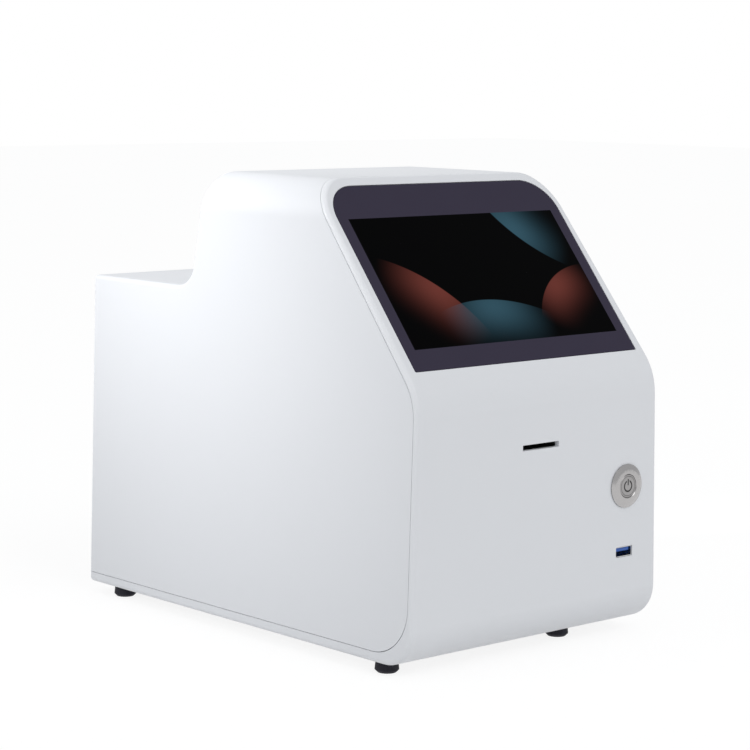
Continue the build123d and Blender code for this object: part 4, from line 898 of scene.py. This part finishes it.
@dataclass
class Studio:
    """Camera, lamps, floor and surroundings."""

    azimuth: float = -41.651
    pitch: float = 7.375
    roll: float = 0.565
    distance: float = 1386.26
    target: Point = (-7.266, -16.0, 144.494)
    lens: float = 113.87
    sensor: float = 36.0
    ambient: float = 0.67
    sky: Colour = (0.98, 0.99, 1.0)
    floor_size: float = 14.0
    floor_low: Colour = (0.86, 0.86, 0.86)
    floor_high: Colour = (0.89, 0.89, 0.89)
    floor_glow: float = 1.08
    floor_share: float = 0.80
    lamps: tuple[Lamp, ...] = (
        Lamp("left_softbox", (-2.6, 0.2, 1.5), (0.0, 0.0, 0.12), 1.8, 4.2),
        Lamp("front_softbox", (-0.2, -2.3, 2.1), (0.0, 0.0, 0.15), 1.6, 15.0),
        Lamp("rear_beam", (-1.35, 0.75, 0.95), (-0.09, 0.09, 0.26), 0.12, 84.0, beam=15.0),
    )

    def camera(self) -> None:
        """Set the camera where the photograph was taken from."""
        turn, tip, roll = (math.radians(angle) for angle in (self.azimuth, self.pitch, self.roll))
        back = Vector((math.sin(turn) * math.cos(tip), -math.cos(turn) * math.cos(tip), math.sin(tip)))
        right = (-back).cross(Vector((0, 0, 1))).normalized()
        up = right.cross(-back).normalized()
        side = right * math.cos(roll) + up * math.sin(roll)
        rise = up * math.cos(roll) - right * math.sin(roll)
        data = bpy.data.cameras.new("studio_camera")
        data.sensor_width = self.sensor
        data.sensor_fit = "HORIZONTAL"
        data.lens = self.lens
        data.clip_end = 50.0
        eye = bpy.data.objects.new("studio_camera", data)
        bpy.context.scene.collection.objects.link(eye)
        axes = Matrix((side, rise, back)).transposed().to_4x4()
        eye.matrix_world = Matrix.Translation((Vector(self.target) + back * self.distance) * MM) @ axes
        bpy.context.scene.camera = eye

    def floor(self) -> None:
        """Lay a pale floor that keeps the object's shadow and reads as white to the camera."""
        Bench.clear()
        bpy.ops.mesh.primitive_plane_add(size=self.floor_size, location=(0, 0, 0))
        ground = bpy.context.object
        ground.name = "studio_floor"
        graph = Graph("studio_floor")
        tone = graph.blend(graph.noise(400.0), self.floor_low, self.floor_high)
        graph.set(Base_Color=tone, Roughness=0.9, Specular_IOR_Level=0.0)
        white = graph.node("ShaderNodeEmission", {}, {"Color": WHITE, "Strength": self.floor_glow})
        path = graph.node("ShaderNodeLightPath", {})
        seen = Value(graph, path.outputs["Is Camera Ray"]).most(Value(graph, path.outputs["Is Glossy Ray"]))
        inputs = (seen * self.floor_share, graph.shader.outputs[0], white.outputs[0])
        mixed = graph.node("ShaderNodeMixShader", {}, inputs)
        graph.feed(graph.output.inputs[0], mixed.outputs[0])
        ground.data.materials.append(graph.material)

    def surroundings(self) -> None:
        """White to the camera, a plain soft grey as light."""
        world = bpy.data.worlds.new("studio_world")
        bpy.context.scene.world = world
        world.use_nodes = True
        world.node_tree.nodes.clear()
        sky = Tree(world.node_tree)
        soft = sky.node("ShaderNodeBackground", {}, {"Color": self.sky, "Strength": self.ambient})
        bright = sky.node("ShaderNodeBackground", {}, {"Color": WHITE, "Strength": 1.0})
        path = sky.node("ShaderNodeLightPath", {})
        inputs = (path.outputs["Is Camera Ray"], soft.outputs[0], bright.outputs[0])
        mixed = sky.node("ShaderNodeMixShader", {}, inputs)
        sky.node("ShaderNodeOutputWorld", {}, (mixed.outputs[0],))

    def build(self) -> None:
        """Set everything round the object."""
        self.camera()
        self.floor()
        self.surroundings()
        for lamp in self.lamps:
            lamp.hang()
        bpy.context.scene.view_settings.view_transform = "Standard"
        log.info("studio: camera, floor, %d lamps", len(self.lamps))


def screw_groups() -> list[CrossScrews]:
    """List the screws whose heads show.

    Returns:
        The two groups, with their heads' places in millimetres.
    """
    # The holes in the solids are at 79.5, so the six cover screws stand 4 mm outside them
    cover_side = 83.5
    cover_heights = (34.0, 94.0, 154.0)
    cover_face = 146.2
    fan_x = -34.0
    fan_z = 124.5
    fan_pitch = 25.0
    fan_face = 145.2
    foot_places = ((-86.0, -116.5), (45.0, -116.5), (-86.0, 124.0), (84.0, 124.0))
    foot_seat = 3.6
    ends = (-1, 1)
    foot = Place.FOOT.value
    rear = [(side * cover_side, cover_face, foot + height) for side in ends for height in cover_heights]
    rear += [(fan_x + i * fan_pitch, fan_face, fan_z + j * fan_pitch) for i in ends for j in ends]
    feet = [(x, y, foot_seat) for x, y in foot_places]
    return [
        CrossScrews("rear_screws", rear, (0.0, 1.0, 0.0)),
        CrossScrews("foot_screws", feet, (0.0, 0.0, -1.0)),
    ]


def assemblies() -> list[Nodes | CrossScrews]:
    """List the instrument's sub-assemblies in building order.

    Returns:
        Objects that each have a build method.
    """
    housing = ("hood", "front_panel", "base_tray")
    feet = ("foot_front_left", "foot_front_right", "foot_rear_left", "foot_rear_right")
    display = {
        Finishes.COVER_GLASS: ("cover_glass",),
        Finishes.ADHESIVE: ("glass_tape",),
        Finishes.DISPLAY: ("display_module",),
        Finishes.SHEET_STEEL: ("display_bracket",),
    }
    button = {
        Finishes.BEZEL: ("button_bezel",),
        Finishes.PLUNGER: ("button_plunger",),
        Finishes.SEAL: ("button_seal",),
        Finishes.SHEET_STEEL: ("button_nut",),
        Finishes.BLACK_PLASTIC: ("button_contact_block",),
    }
    sockets = {
        Finishes.BLACK_PLASTIC: ("slot_guide",),
        Finishes.SOCKET_STEEL: ("socket_shell",),
        Finishes.BLUE_PLASTIC: ("socket_blade",),
        Finishes.SOCKET_BOARD: ("socket_board",),
    }
    chassis = {
        Finishes.ALUMINIUM: ("chassis_plate",),
        Finishes.SCREW_STEEL: ("panel_screws", "tray_screws"),
    }
    stage = {
        Finishes.ALUMINIUM: ("stage_base", "stage_carriage", "stage_coupling"),
        Finishes.BEARING_STEEL: ("stage_rail_left", "stage_rail_right", "stage_runners", "stage_screw"),
        Finishes.ANODISED: ("slide_tray",),
        Finishes.SHEET_STEEL: ("slide_clamps",),
        Finishes.BRASS: ("stage_nut",),
        Finishes.MOTOR: ("stage_motor",),
    }
    optics = {
        Finishes.ALUMINIUM: ("optics_column", "focus_carriage", "focus_bearing", "focus_coupling"),
        Finishes.BEARING_STEEL: ("focus_rail", "focus_screw"),
        Finishes.BRASS: ("focus_nut",),
        Finishes.ANODISED: ("lamp_housing", "lens_tube", "objective_lens", "camera_housing"),
        Finishes.OPTICS: ("condenser_lens",),
        Finishes.MOTOR: ("focus_motor",),
    }
    electronics = {
        Finishes.MAIN_BOARD: ("main_board",),
        Finishes.BRASS: ("board_standoffs",),
        Finishes.ALUMINIUM: ("board_cooler",),
        Finishes.SHEET_STEEL: ("power_supply",),
    }
    rear = {
        Finishes.REAR_SHEET: ("rear_panel",),
        Finishes.BLACK_PLASTIC: ("fan_frame", "fan_rotor", "power_inlet", "switch_frame", "power_rocker"),
        Finishes.BRASS: ("inlet_pins",),
    }
    return [
        Nodes("housing", {Finishes.HOUSING: housing}, skins=housing),
        Nodes("display", display, skins=("cover_glass",)),
        Nodes("push button", button, skins=("button_bezel", "button_plunger")),
        Nodes("slot and socket", sockets),
        Nodes("feet", {Finishes.FEET: feet}, skins=feet),
        Nodes("chassis", chassis),
        *screw_groups(),
        Nodes("stage", stage),
        Nodes("optics", optics),
        Nodes("electronics", electronics),
        Nodes("rear", rear, skins=("fan_rotor", "fan_frame", "power_rocker")),
    ]


def main() -> None:
    """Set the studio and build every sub-assembly."""
    logging.basicConfig(level=logging.INFO, format="%(message)s")
    Studio().build()
    for assembly in assemblies():
        assembly.build()


if __name__ == "__main__":
    main()
